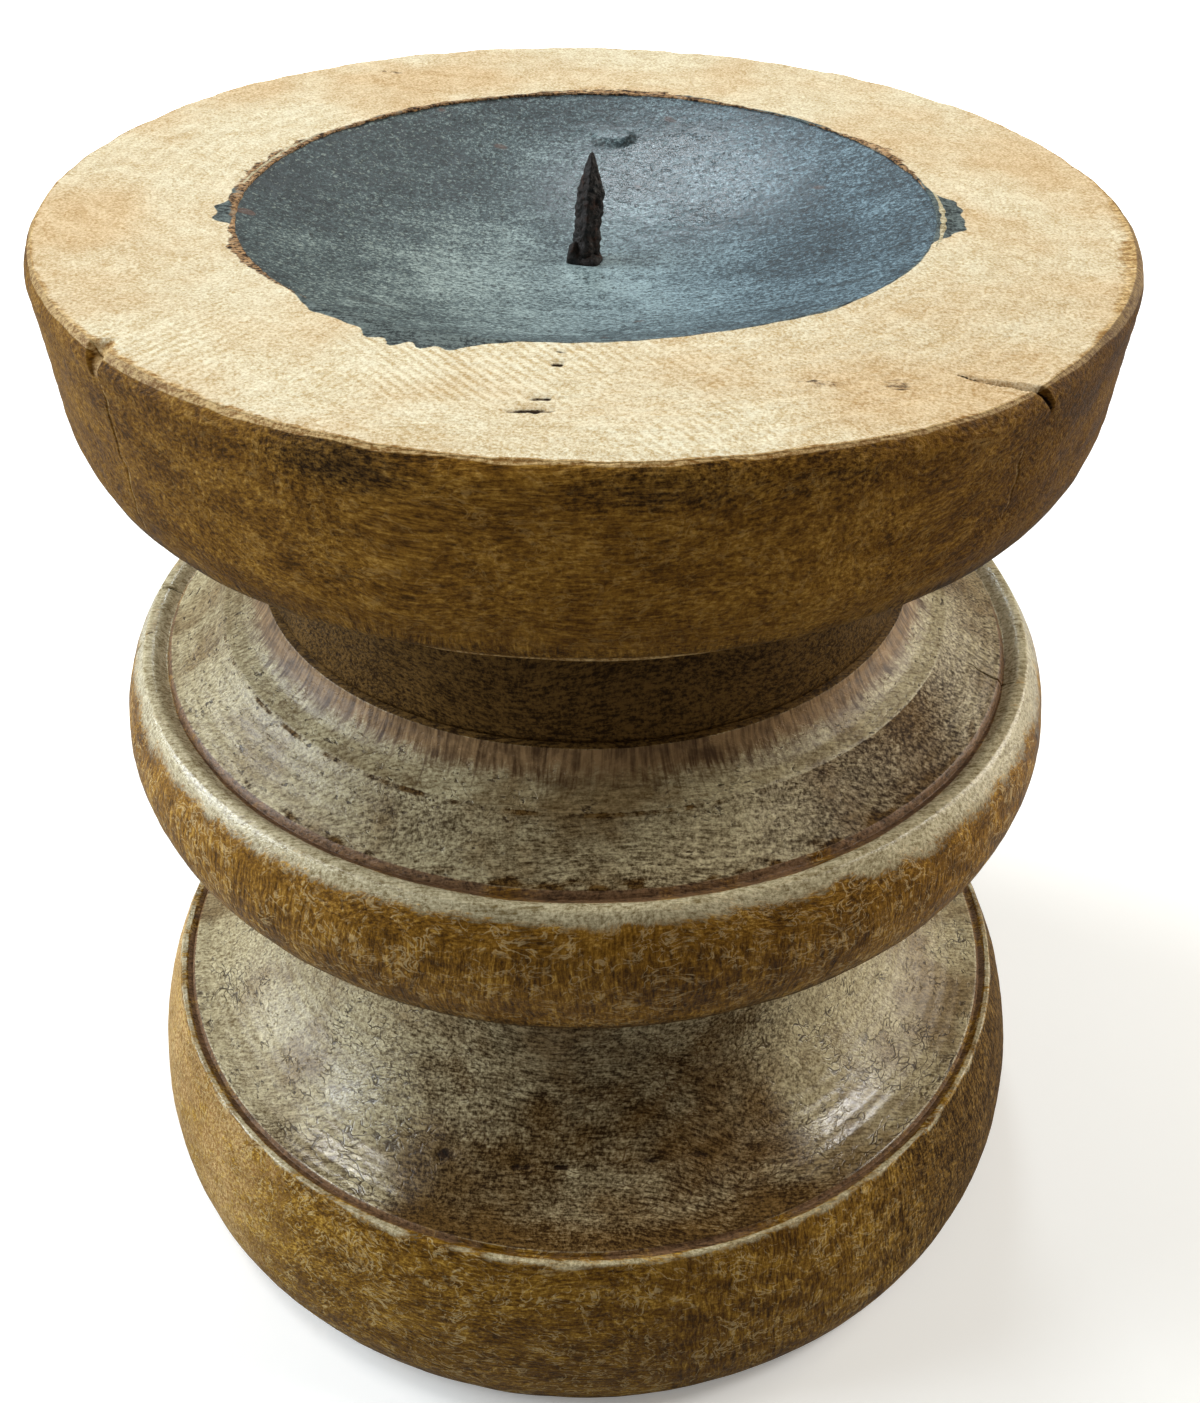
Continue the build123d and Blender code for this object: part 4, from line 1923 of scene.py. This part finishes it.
    def outline(self) -> Outline:
        """Draws the cup from the spike's hole, over the rim and down the neck, to its socket.

        Returns:
            The outline.
        """
        line = Outline((0.0, self.top - self.hole_depth))
        line.line((self.hole_radius, self.top - self.hole_depth), Zone.HIDDEN, HIDDEN_STEP)
        line.line((self.hole_radius, self.seat_level(self.hole_radius)), Zone.HIDDEN, HIDDEN_STEP)
        for i in range(1, self.seat_steps + 1):
            across = self.hole_radius + (self.seat_radius - self.hole_radius) * i / self.seat_steps
            line.points.append(((across, min(self.seat_level(across), self.top)), Zone.HIDDEN))
        line.line((self.seat_radius, self.top), Zone.SAWN, self.fine_step)
        line.line((self.seat_radius + self.edge_width, self.top), Zone.SAWN, self.fine_step)
        line.line((self.radius - self.rim_inset, self.top), Zone.SAWN, 2.0 * self.fine_step)
        line.measure_from_here()
        widest = (self.radius, self.under + self.widest_height)
        line.arc_into(widest, DOWN, Zone.SIDE, self.fine_step)
        turn = (self.radius - self.turn_inset, self.under + self.turn_height)
        line.line(turn, Zone.SIDE, self.step)
        bend = (self.radius - self.bend_inset, self.under + self.bend_height)
        line.arc(bend, (turn[0] - widest[0], turn[1] - widest[1]), Zone.SIDE, self.step)
        arris = (self.radius - self.under_inset, self.under + self.under_lift)
        line.line((arris[0] + self.arris_lean, arris[1] + self.arris_land), Zone.SIDE, 2.0 * self.fine_step)
        line.line(arris, Zone.SIDE, self.fine_step)
        waist = self.neck_radius - self.neck_taper
        line.line((waist + self.neck_cove, self.under), Zone.SHADE, self.step)
        line.arc((waist, self.under - self.neck_cove), INWARD, Zone.SHADE, self.step)
        line.line((self.neck_radius, self.bottom), Zone.SHADE, self.step)
        return self.lower_socket(line, HIDDEN_STEP)

    def inset(self, station: Station, azimuth: float) -> float:
        """Draws the hollow and its edge in where the hollow dips.

        Args:
            station: Place along the outline.
            azimuth: Degrees about the axis.

        Returns:
            How far the place moves towards the axis.
        """
        if station.height < self.top - self.hollow_depth:
            return 0.0
        share = min(station.radius / self.seat_radius, 1.0)
        share *= smooth_share(self.seat_radius + self.dip_fade, self.seat_radius, station.radius)
        return share * HOLLOW_DIP.at(azimuth)

    def drop(self, station: Station, azimuth: float) -> float:
        """Tips and wears the rim, which fades out down the side and in towards the dish.

        Args:
            station: Place along the outline.
            azimuth: Degrees about the axis.

        Returns:
            How far the place drops.
        """
        if station.height < self.top - self.rim_reach:
            return 0.0
        rim = self.radius - self.rim_inset
        share = smooth_share(self.seat_radius, rim, station.radius)
        share *= smooth_share(self.top - self.rim_reach, self.top - self.rim_inset, station.height)
        tip = self.rim_tip * self.aside(azimuth)
        worn = sum(wear.at(azimuth) for wear in self.rim_wear)
        ragged = self.rim_ragged * self.about(self.rim_patches, azimuth)
        edge = smooth_share(self.radius - self.rim_band, rim, station.radius)
        return share * (tip + worn + edge * ragged)

    def marks(self, station: Station, azimuth: float) -> Marks:
        """Picks the marks for the kind of surface.

        Args:
            station: Place along the outline.
            azimuth: Degrees about the axis.

        Returns:
            Weights of the zones that change about the axis.
        """
        if station.zone is Zone.SIDE:
            return self.side_marks(station, azimuth)
        return self.top_marks(station, azimuth) if station.zone is Zone.SAWN else {}

    def top_marks(self, station: Station, azimuth: float) -> Marks:
        """Puts the paint that ran over, the torn fibres and the worn band on the top.

        Args:
            station: Place along the outline.
            azimuth: Degrees about the axis.

        Returns:
            Weights of the top's zones.
        """
        out = station.radius - self.seat_radius
        reach = self.paint_edge * self.about(self.paint_patches, azimuth)
        reach += sum(smear.at(azimuth) * self.about(uneven, azimuth)
                     for smear, uneven in zip(self.smears, self.smear_patches))
        paint = smooth_share(reach + self.paint_blur, reach - self.paint_blur, out)
        torn = max(tear.at(azimuth) for tear in self.tears)
        torn *= self.about(self.tear_patches, azimuth) + self.over(self.tear_threads, station, azimuth)
        ripped = smooth_share(torn, self.tear_core * torn, out) if torn > self.least_tear else 0.0
        pale = max(chip.at(azimuth) for chip in self.chips) * self.about(self.chip_patches, azimuth)
        beyond = abs(out - self.chip_out)
        chipped = smooth_share(pale, self.tear_core * pale, beyond) if pale > self.least_chip else 0.0
        band = self.worn_width * self.about(self.worn_patches, azimuth)
        band += sum(wear.at(azimuth) for wear in self.worn_bands)
        inside = self.radius - self.rim_inset - station.radius
        worn = smooth_share(self.worn_fade * band, 0.0, inside) if band > 0.0 else 0.0
        ripped = max(ripped, self.smudged(self.ring(azimuth) * (station.radius / self.radius)))
        return {Zone.PAINT: paint, Zone.TORN: self.torn_shown * ripped, Zone.WORN: self.worn_shown * worn,
                Zone.CREST: chipped}

    def smudged(self, here: Vector) -> float:
        """Works out how dirty a place on the top is.

        Args:
            here: Place across and back.

        Returns:
            0 where it is clean.
        """
        dirty = max(1.0 - math.hypot((here.x - across) / long, (here.y - back) / wide)
                    for across, back, long, wide in self.smudges)
        if dirty <= -self.smudge_ragged:
            return 0.0
        dirty += self.smudge_ragged * bumps(here, self.smudge_grain, self.smudge_seed)
        return self.smudge_edge.at(dirty)

    def side_marks(self, station: Station, azimuth: float) -> Marks:
        """Paints shade on the side above the arris and towards its sides, darkens it under the rim, and wears
        both edges.

        Args:
            station: Place along the outline.
            azimuth: Degrees about the axis.

        Returns:
            Weights of the side's zones.
        """
        above = station.height - self.under - self.bend_height
        # Painted shade low on the side, where it turns under, and more towards its sides
        low = (self.low_shade + self.beside.share(azimuth)) * self.low_band.at(above)
        arris = self.arris_wear.at(station.height - self.under - self.under_lift - self.arris_land)
        high = self.about(self.high_shade, azimuth) + self.high_front.share(azimuth)
        high *= self.high_band.at(self.top - station.height)
        edge = self.about(self.edge_wear, azimuth)
        edge += sum(self.edge_share * wear.at(azimuth) for wear in self.worn_bands)
        worn = self.edge_shown * smooth_share(edge + self.edge_blur, edge, self.top - station.height)
        # Painted shade: the dim zone darkens the sides, most at the right, and low down
        beside = self.right_dim.at(self.aside(azimuth)) * self.dim_sides.share(azimuth)
        dim = max(beside, self.low_dim.at(above)) * self.over(self.dim_patches, station, azimuth)
        return {Zone.SHADE: max(low, high), Zone.WORN: max(worn, arris), Zone.COMBED: low, Zone.DIM: dim}


def grid_faces(rows: Sequence[Sequence[int]]) -> list[tuple[int, ...]]:
    """Joins rows of vertices, each closed on itself, into faces.

    Args:
        rows: Vertex numbers. A row of one vertex is a pole.

    Returns:
        The faces.
    """
    faces: list[tuple[int, ...]] = []
    for upper, lower in zip(rows, rows[1:]):
        count = max(len(upper), len(lower))
        for i in range(count):
            j = (i + 1) % count
            if len(upper) == 1:
                faces.append((upper[0], lower[i], lower[j]))
            elif len(lower) == 1:
                faces.append((upper[j], upper[i], lower[0]))
            else:
                faces.append((upper[j], upper[i], lower[i], lower[j]))
    return faces


def make_piece(name: str, points: Sequence[Vector], faces: Sequence[tuple[int, ...]]) -> bpy.types.Object:
    """Makes a smooth mesh object.

    Args:
        name: The piece's name.
        points: Vertices, in metres.
        faces: Faces, by vertex number.

    Returns:
        The object, linked to the scene.
    """
    mesh = bpy.data.meshes.new(name)
    mesh.from_pydata(points, [], faces)
    mesh.shade_smooth()
    mesh.update()
    piece = bpy.data.objects.new(name, mesh)
    bpy.context.scene.collection.objects.link(piece)
    return piece


def dress(piece: bpy.types.Object, material: bpy.types.Material, node: str) -> None:
    """Gives a piece its material and ties it to the frame.

    Args:
        piece: The piece.
        material: Its material.
        node: The node that it stands for.
    """
    piece.data.materials.append(material)
    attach(piece, BODY)
    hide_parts(node)
    LOG.info("%s: %d vertices", piece.name, len(piece.data.vertices))


@dataclass
class Dish:
    """The sheet-iron dish, dented, with a blister in its paint."""

    node: str
    finish: SlatePaint
    thickness: float = 1.2 * MM
    back_share: float = 0.9
    steps: int = 480
    step: float = 0.8 * MM
    outer_skip: int = 6
    dent: float = 0.16 * MM
    dents: Patchy = Patchy(0.0, 1.0, 13.0 * MM, 0.5, 4.0 * MM)
    dent_seed: float = 6.0
    edge_gap: float = 0.9 * MM
    edge_sink: float = 0.12 * MM
    edge_band: float = 6.0 * MM
    hole_radius: float = 2.3 * MM
    # The blister: across, back, radius and rise, and its outline in radii, with its crack and a painted
    # shadow under its front edge
    blister: Quad = (5.0 * MM, 45.0 * MM, 4.4 * MM, 0.7 * MM)
    blister_squash: float = 1.3
    blister_patches: Patchy = Patchy(0.0, 0.25, 3.0 * MM)
    blister_seed: float = 8.0
    blister_edge: Ease = Ease(1.0, 0.75)
    blister_back: Ease = Ease(1.2, -0.4)
    flake_reach: float = 1.02
    flake_shadow_line: Ease = Ease(0.14, 0.04, 0.0, 0.6)
    flake_back: Ease = Ease(0.2, -0.5)
    # Scratches: across, back, half length and turn in degrees
    dashes: tuple[Quad, ...] = (
        (-34.0 * MM, 26.0 * MM, 1.3 * MM, 10.0), (-33.0 * MM, -33.5 * MM, 3.2 * MM, -12.0),
        (41.0 * MM, -27.0 * MM, 3.0 * MM, 5.0), (51.0 * MM, -14.0 * MM, 1.2 * MM, 40.0))
    dash_width: float = 1.0 * MM
    dash_core: float = 0.3
    dash_shown: float = 0.7

    def __post_init__(self) -> None:
        """Reads the dish's size from the frame."""
        low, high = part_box(self.node)
        depth = high.z - low.z - self.thickness
        self.radius = high.x + self.edge_gap
        self.rim, self.floor = high.z, low.z + self.thickness
        self.sphere = (self.radius ** 2 + depth ** 2) / (2.0 * depth)

    def level(self, radius: float) -> float:
        """Gives the height of the inner face at a radius."""
        return self.floor + self.sphere - math.sqrt(self.sphere ** 2 - radius ** 2)

    def build(self) -> bpy.types.Object:
        """Builds the dish's mesh and dresses it.

        Returns:
            The piece.
        """
        width = self.radius - self.hole_radius
        count = math.ceil(width / self.step)
        radii = [self.hole_radius + width * i / count for i in range(count + 1)]
        circles = [(radius, False) for radius in radii]
        circles += [(radius, True) for radius in radii[::-self.outer_skip]]
        points, rows, gaps = [], [], []
        for radius, outer in circles:
            row = []
            for i in range(self.steps):
                place, gap = self.spot(radius, FULL_TURN * i / self.steps, outer)
                row.append(len(points))
                points.append(place)
                gaps.append(gap)
            rows.append(row)
        rows.append(rows[0])
        piece = make_piece(self.node + "_shape", points, grid_faces(rows))
        piece.data.attributes.new(Zone.GAP.value, "FLOAT", "POINT").data.foreach_set("value", gaps)
        dress(piece, self.finish.make(), self.node)
        return piece

    def spot(self, radius: float, turn: float, outer: bool) -> tuple[Vector, float]:
        """Places one vertex.

        Args:
            radius: Distance from the axis.
            turn: Azimuth, in radians.
            outer: True on the outer face, under the dish.

        Returns:
            The vertex, and how dark it is: in the crack and painted shadow at the flake's front edge, or in a
                scratch.
        """
        heading = Vector((math.cos(turn), math.sin(turn), 0.0))
        place = heading * radius * (1.0 - HOLLOW_DIP.at(math.degrees(turn)) / self.radius)
        place.z = min(self.level(min(radius, self.radius)), self.rim)
        if outer:
            place.z -= self.back_share * self.thickness
            return place, 0.0
        place.z += self.dent * self.dents.at(place, self.dent_seed)
        place.z -= self.edge_sink * smooth_share(self.radius - self.edge_band, self.radius, radius)
        across, back, size, rise = self.blister
        off = Vector((place.x - across, (place.y - back) * self.blister_squash, 0.0))
        reach = off.length / size + self.blister_patches.at(place, self.blister_seed)
        place.z += rise * self.blister_edge.at(reach) * self.blister_back.at(off.y / size)
        # A dark crescent at the blister's front edge: its crack, and the painted shadow under the lifted
        # flake
        flake_shadow = self.flake_shadow_line.at(abs(reach - self.flake_reach)) * self.flake_back.at(off.y / size)
        return place, max(flake_shadow, self.dash_shown * self.scratched(place))

    def scratched(self, place: Vector) -> float:
        """Works out how deep in a scratch a place lies.

        Args:
            place: Point on the inner face.

        Returns:
            1 in the middle of a scratch and 0 away from all of them.
        """
        deepest = 0.0
        for across, back, long, turned in self.dashes:
            off = Vector((place.x - across, place.y - back))
            lean = Vector((math.cos(math.radians(turned)), math.sin(math.radians(turned))))
            past = Vector((max(0.0, abs(off.dot(lean)) - long), lean.cross(off))).length
            deepest = max(deepest, smooth_share(self.dash_width, self.dash_core * self.dash_width, past))
        return deepest


@dataclass
class Spike:
    """The forged square spike, pitted with rust."""

    node: str
    finish: RustedIron
    width: float = 3.7 * MM
    turn: float = 38.0
    square: float = 5.0
    point: float = 7.0 * MM
    point_curve: float = 0.8
    tip_width: float = 0.3 * MM
    tang_width: float = 1.4 * MM
    tang: float = 25.0 * MM
    lean: float = 0.9 * MM
    pit: float = 0.4 * MM
    rust: Patchy = Patchy(0.0, 0.7, 2.0 * MM, 0.8, 0.8 * MM)
    seed: float = 4.0
    sides: int = 96
    step: float = 0.2 * MM

    def __post_init__(self) -> None:
        """Reads the spike's ends from the frame."""
        low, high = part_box(self.node)
        self.bottom, self.top = low.z, high.z

    def half(self, level: float) -> float:
        """Gives half the width across the flats at a height.

        Args:
            level: The height.

        Returns:
            Half the width.
        """
        below = self.top - level
        if below < self.point:
            share = (below / self.point) ** self.point_curve
            return 0.5 * (self.tip_width + (self.width - self.tip_width) * share)
        share = smooth_share(self.bottom + self.tang, self.bottom, level)
        return 0.5 * (self.width + (self.tang_width - self.width) * share)

    def build(self) -> bpy.types.Object:
        """Builds the spike's mesh and dresses it.

        Returns:
            The piece.
        """
        count = math.ceil((self.top - self.bottom) / self.step)
        points, rows = [Vector((self.lean, 0.0, self.top))], [[0]]
        for i in range(1, count):
            level = self.top + (self.bottom - self.top) * i / count
            row = []
            for j in range(self.sides):
                row.append(len(points))
                points.append(self.spot(level, FULL_TURN * j / self.sides))
            rows.append(row)
        rows.append([len(points)])
        points.append(Vector((0.0, 0.0, self.bottom)))
        piece = make_piece(self.node + "_shape", points, grid_faces(rows))
        dress(piece, self.finish.make(), self.node)
        return piece

    def spot(self, level: float, turn: float) -> Vector:
        """Places one vertex.

        Args:
            level: Height.
            turn: Azimuth, in radians.

        Returns:
            The vertex.
        """
        flat = turn - math.radians(self.turn)
        corner = abs(math.cos(flat)) ** self.square + abs(math.sin(flat)) ** self.square
        reach = self.half(level) * corner ** (-1.0 / self.square)
        heading = Vector((math.cos(turn), math.sin(turn), 0.0))
        place = heading * reach
        place.z = level
        eaten = self.pit * self.rust.at(place, self.seed)
        place += heading * eaten * min(1.0, 2.0 * reach / self.width)
        place.x += self.lean * smooth_share(self.bottom + self.tang, self.top, level)
        return place


@dataclass(frozen=True)
class Lump:
    """A swelling of the weld."""

    swell: Bell
    rise: float
    reach: float


@dataclass
class Weld:
    """The lumpy weld at the spike's foot."""

    node: str
    finish: RustedIron
    height: float = 1.3 * MM
    radius_share: float = 0.68
    round_power: int = 4
    lumps: tuple[Lump, ...] = (
        Lump(Bell(-155.0, 26.0, 1.0), 2.2 * MM, 0.9 * MM), Lump(Bell(-62.0, 24.0, 1.0), 0.2 * MM, 0.6 * MM))
    ripple: float = 0.45 * MM
    rough: Patchy = Patchy(0.0, 1.0, 1.3 * MM, 0.5, 0.6 * MM)
    rough_lift: float = 0.7
    rough_power: int = 6
    seed: float = 9.0
    sides: int = 96
    rings: int = 16
    sink: float = 0.25 * MM

    def __post_init__(self) -> None:
        """Reads the weld's place from the frame."""
        low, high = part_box(self.node)
        self.bottom, self.radius = low.z, 0.5 * (high.x - low.x) * self.radius_share

    def build(self) -> bpy.types.Object:
        """Builds the weld's mesh and dresses it.

        Returns:
            The piece.
        """
        points, rows = [Vector((0.0, 0.0, self.bottom + self.height))], [[0]]
        for i in range(1, self.rings + 1):
            row = []
            for j in range(self.sides):
                row.append(len(points))
                points.append(self.spot(i / self.rings, FULL_TURN * j / self.sides))
            rows.append(row)
        rows.append([len(points)])
        points.append(Vector((0.0, 0.0, self.bottom - self.sink)))
        piece = make_piece(self.node + "_shape", points, grid_faces(rows))
        dress(piece, self.finish.make(), self.node)
        return piece

    def spot(self, share: float, turn: float) -> Vector:
        """Places one vertex.

        Args:
            share: 0 at the axis and 1 at the bead's edge.
            turn: Azimuth, in radians.

        Returns:
            The vertex.
        """
        swells = [(lump.swell.at(math.degrees(turn)), lump) for lump in self.lumps]
        radius = self.radius + sum(weight * lump.reach for weight, lump in swells)
        height = self.height + sum(weight * lump.rise for weight, lump in swells)
        place = Vector((math.cos(turn), math.sin(turn), 0.0)) * radius * share
        fullness = math.sqrt(max(0.0, 1.0 - share ** self.round_power))
        place.z = self.bottom - self.sink + (height + self.sink) * fullness
        rough = self.ripple * self.rough.at(place, self.seed) * (1.0 - share ** self.rough_power)
        return place + Vector((math.cos(turn), math.sin(turn), self.rough_lift)) * rough


@dataclass(frozen=True)
class Lamp:
    """A soft panel lamp."""

    name: str
    place: Triple
    size: Point
    power: float
    tint: Triple = UNIT


@dataclass(frozen=True)
class Studio:
    """The camera, the floor and the light."""

    camera_place: Triple = (0.0, -0.26218, 0.30485)
    pitch: float = 37.617
    swing: float = 0.487
    lens: float = 40.756
    sensor: float = 36.0
    clip: Point = (0.01, 50.0)
    ambient: float = 0.22
    ambient_tint: Colour = (1.0, 0.93, 0.78, 1.0)
    # The floor's paper, which glows by the distance from the stand
    floor_half: float = 4.0
    floor_level: float = -0.5 * MM
    paper: Noise = Noise(400.0, 2.0)
    paper_tints: tuple[Colour, Colour] = ((0.95, 0.95, 0.95, 1.0), (0.99, 0.99, 0.99, 1.0))
    paper_lit: Colour = (0.4, 0.4, 0.4, 1.0)
    paper_rough: float = 0.9
    paper_glow: Ease = Ease(0.3, 1.0, 0.18, 1.0)
    target: Triple = (0.0, 0.0, 0.12)
    lamps: tuple[Lamp, ...] = (
        Lamp("left_panel", (-1.25, 0.1, 0.65), (0.8, 0.8), 21.0, (0.86, 0.94, 1.0)),
        Lamp("right_panel", (1.2, 0.4, 0.55), (0.8, 0.8), 12.0, (1.0, 0.95, 0.84)),
        Lamp("back_panel", (-0.05, 1.1, 1.15), (0.28, 0.28), 3.9, (0.84, 0.94, 1.0)),
        Lamp("left_ceiling", (-0.64, 0.25, 1.4), (0.36, 0.36), 6.0),
        Lamp("right_ceiling", (1.18, 0.08, 1.4), (0.36, 0.36), 7.0),
    )

    def set_up(self) -> None:
        """Puts everything in place."""
        self.camera()
        self.world()
        self.floor()
        for lamp in self.lamps:
            self.hang(lamp)
        bpy.context.scene.view_settings.view_transform = "Standard"

    def camera(self) -> None:
        """Stands the camera where the photograph was taken."""
        data = bpy.data.cameras.new("camera")
        data.sensor_fit = "VERTICAL"
        data.sensor_height = self.sensor
        data.lens = self.lens
        data.clip_start, data.clip_end = self.clip
        camera = bpy.data.objects.new("camera", data)
        tilt = Matrix.Rotation(QUARTER_TURN - math.radians(self.pitch), 4, "X")
        turn = Matrix.Rotation(-math.radians(self.swing), 4, "Y")
        camera.matrix_world = Matrix.Translation(self.camera_place) @ tilt @ turn
        bpy.context.scene.collection.objects.link(camera)
        bpy.context.scene.camera = camera

    def world(self) -> None:
        """Lights the scene from all round, with a white background."""
        world = bpy.data.worlds.new("studio")
        bpy.context.scene.world = world
        world.use_nodes = True
        tree = world.node_tree
        tree.nodes.clear()
        path = tree.nodes.new("ShaderNodeLightPath")
        seen = tree.nodes.new("ShaderNodeBackground")
        seen.inputs["Strength"].default_value = 1.0
        seen.inputs["Color"].default_value = WHITE
        soft = tree.nodes.new("ShaderNodeBackground")
        soft.inputs["Strength"].default_value = self.ambient
        soft.inputs["Color"].default_value = self.ambient_tint
        mix = tree.nodes.new("ShaderNodeMixShader")
        output = tree.nodes.new("ShaderNodeOutputWorld")
        tree.links.new(path.outputs["Is Camera Ray"], mix.inputs[0])
        tree.links.new(soft.outputs[0], mix.inputs[1])
        tree.links.new(seen.outputs[0], mix.inputs[2])
        tree.links.new(mix.outputs[0], output.inputs["Surface"])

    def floor(self) -> None:
        """Lays a wide pale floor, which the camera sees paler than the lamps do."""
        signs = ((-1, -1), (1, -1), (1, 1), (-1, 1))
        corners = [Vector((x * self.floor_half, y * self.floor_half, self.floor_level)) for x, y in signs]
        floor = make_piece("floor", corners, [(0, 1, 2, 3)])
        sketch = NodeSketch("floor_paper")
        place = sketch.place()
        paper = sketch.clouds(place, self.paper)
        far = sketch.eased(sketch.distance(place, ORIGIN), self.paper_glow)
        seen = sketch.blend(paper, *self.paper_tints)
        direct = sketch.add("ShaderNodeLightPath").outputs["Is Camera Ray"]
        sketch.feed(sketch.surface.inputs["Base Color"], sketch.blend(direct, self.paper_lit, seen))
        sketch.surface.inputs["Roughness"].default_value = self.paper_rough
        sketch.surface.inputs["Emission Color"].default_value = WHITE
        sketch.feed(sketch.surface.inputs["Emission Strength"], sketch.math("MULTIPLY", direct, far))
        floor.data.materials.append(sketch.material)

    def hang(self, lamp: Lamp) -> None:
        """Hangs a lamp, aimed at the stand.

        Args:
            lamp: The lamp.
        """
        data = bpy.data.lights.new(lamp.name, "AREA")
        data.shape, data.energy, data.color = "RECTANGLE", lamp.power, lamp.tint
        data.size, data.size_y = lamp.size
        light = bpy.data.objects.new(lamp.name, data)
        light.location = lamp.place
        light.rotation_euler = (Vector(self.target) - light.location).to_track_quat("-Z", "Y").to_euler()
        bpy.context.scene.collection.objects.link(light)


FOOT_WOOD = TurnedWood(
    "foot_wood", seed=3.1, tones=("#3C2604", "#66440E", "#906A22", "#CAA24C"), vein_and_glint="#DCC592", pore="#33220F",
    grain_turn=4.0, vein_and_glint_share=0.5, crackle=0.9, rings=0.05,
    zones=(Zone.AGED, Zone.WORN, Zone.SHADE, Zone.GROOVE, Zone.CREST, Zone.GAP))
RING_WOOD = TurnedWood(
    "ring_wood", seed=7.7, tones=("#3A2304", "#65430E", "#906620", "#C89E4C"), vein_and_glint="#D8BE8C", pore="#33220F",
    grain_turn=-3.0, vein_and_glint_share=0.5, crackle=0.3, rings=0.05,
    zones=(Zone.AGED, Zone.COLLAR, Zone.CREST, Zone.GROOVE, Zone.SHADE, Zone.GAP))
CUP_WOOD = TurnedWood(
    "cup_wood", seed=12.3, tones=("#4B3210", "#754F1B", "#9B702A", "#C99C4C"), vein_and_glint="#CDA766", pore="#281A0E",
    grain_turn=2.0, vein_and_glint_share=0.3, crackle=0.0, rings=0.05,
    zones=(Zone.SHADE, Zone.SAWN, Zone.WORN, Zone.PAINT, Zone.TORN, Zone.CREST, Zone.GAP),
    rough=(0.45, 0.6), shine=0.05)

# Pits in the foot's cove at the front: across, back, half length and half width, in millimetres
FOOT_PITS = tuple(
    Pit(across * MM, back * MM, Zone.AGED, long * MM, wide * MM, 0.8 * MM) for across, back, long, wide in (
        (-27.6, -70.0, 2.6, 1.6), (-12.9, -73.6, 3.6, 0.8), (-5.0, -74.0, 2.6, 0.7), (12.4, -72.7, 2.8, 0.7),
        (22.2, -70.8, 3.4, 0.7)))

# Splits in the end grain, two at the left and one at the right
RING_FLAWS = (
    Flaw(176.0, -6.0 * MM, 6.0 * MM, 0.5 * MM, 1.4 * MM, -1.0 * MM, 1.2 * MM),
    Flaw(187.0, -2.0 * MM, 8.0 * MM, 0.45 * MM, 1.2 * MM, 1.5 * MM, 1.0 * MM),
    Flaw(342.0, -14.0 * MM, -1.0 * MM, 0.35 * MM, 0.8 * MM, -6.0 * MM, 0.8 * MM))

# A split over the rim, a notch in the rim and two scratches down the side
CUP_FLAWS = (
    Flaw(313.5, -11.0 * MM, 6.0 * MM, 1.2 * MM, 2.0 * MM, 0.2 * MM, 0.6 * MM, shown=0.8, slant=0.42 / MM),
    Flaw(221.5, -3.0 * MM, 6.0 * MM, 2.6 * MM, 2.2 * MM, 0.5 * MM, 0.6 * MM, Zone.WORN, 0.7),
    Flaw(222.5, 4.0 * MM, 38.0 * MM, 0.5 * MM, 0.25 * MM, 10.0 * MM, 1.5 * MM, Zone.WORN, 0.6),
    Flaw(312.0, 8.0 * MM, 24.0 * MM, 0.4 * MM, 0.2 * MM, 14.0 * MM, 2.0 * MM, Zone.WORN, 0.7))

# A row of pits from the hollow to the rim at the front, in the same order
CUP_PITS = tuple(
    Pit(across * MM, back * MM, Zone.SAWN, long * MM, wide * MM, 0.7 * MM) for across, back, long, wide in (
        (-3.8, -58.2, 1.6, 0.7), (-3.9, -62.2, 1.6, 1.3), (-5.5, -72.6, 3.0, 0.9), (-7.0, -76.0, 4.2, 1.0)))


def main() -> None:
    """Builds the stand and its studio."""
    logging.basicConfig(level=logging.INFO, format="%(message)s")
    Studio().set_up()
    FootBlock("foot_block", FOOT_WOOD, pits=FOOT_PITS, seed=1.0).build()
    RingBlock("ring_block", RING_WOOD, flaws=RING_FLAWS, seed=2.0).build()
    CupBlock("cup_block", CUP_WOOD, flaws=CUP_FLAWS, pits=CUP_PITS, seed=3.0).build()
    for name in ("lower_dowel", "upper_dowel"):
        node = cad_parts[name]
        node.data.materials.clear()
        node.data.materials.append(DowelWood().make())
    Dish("dish", SlatePaint()).build()
    Spike("spike", RustedIron()).build()
    Weld("spike_weld", RustedIron()).build()


if __name__ == "__main__":
    main()
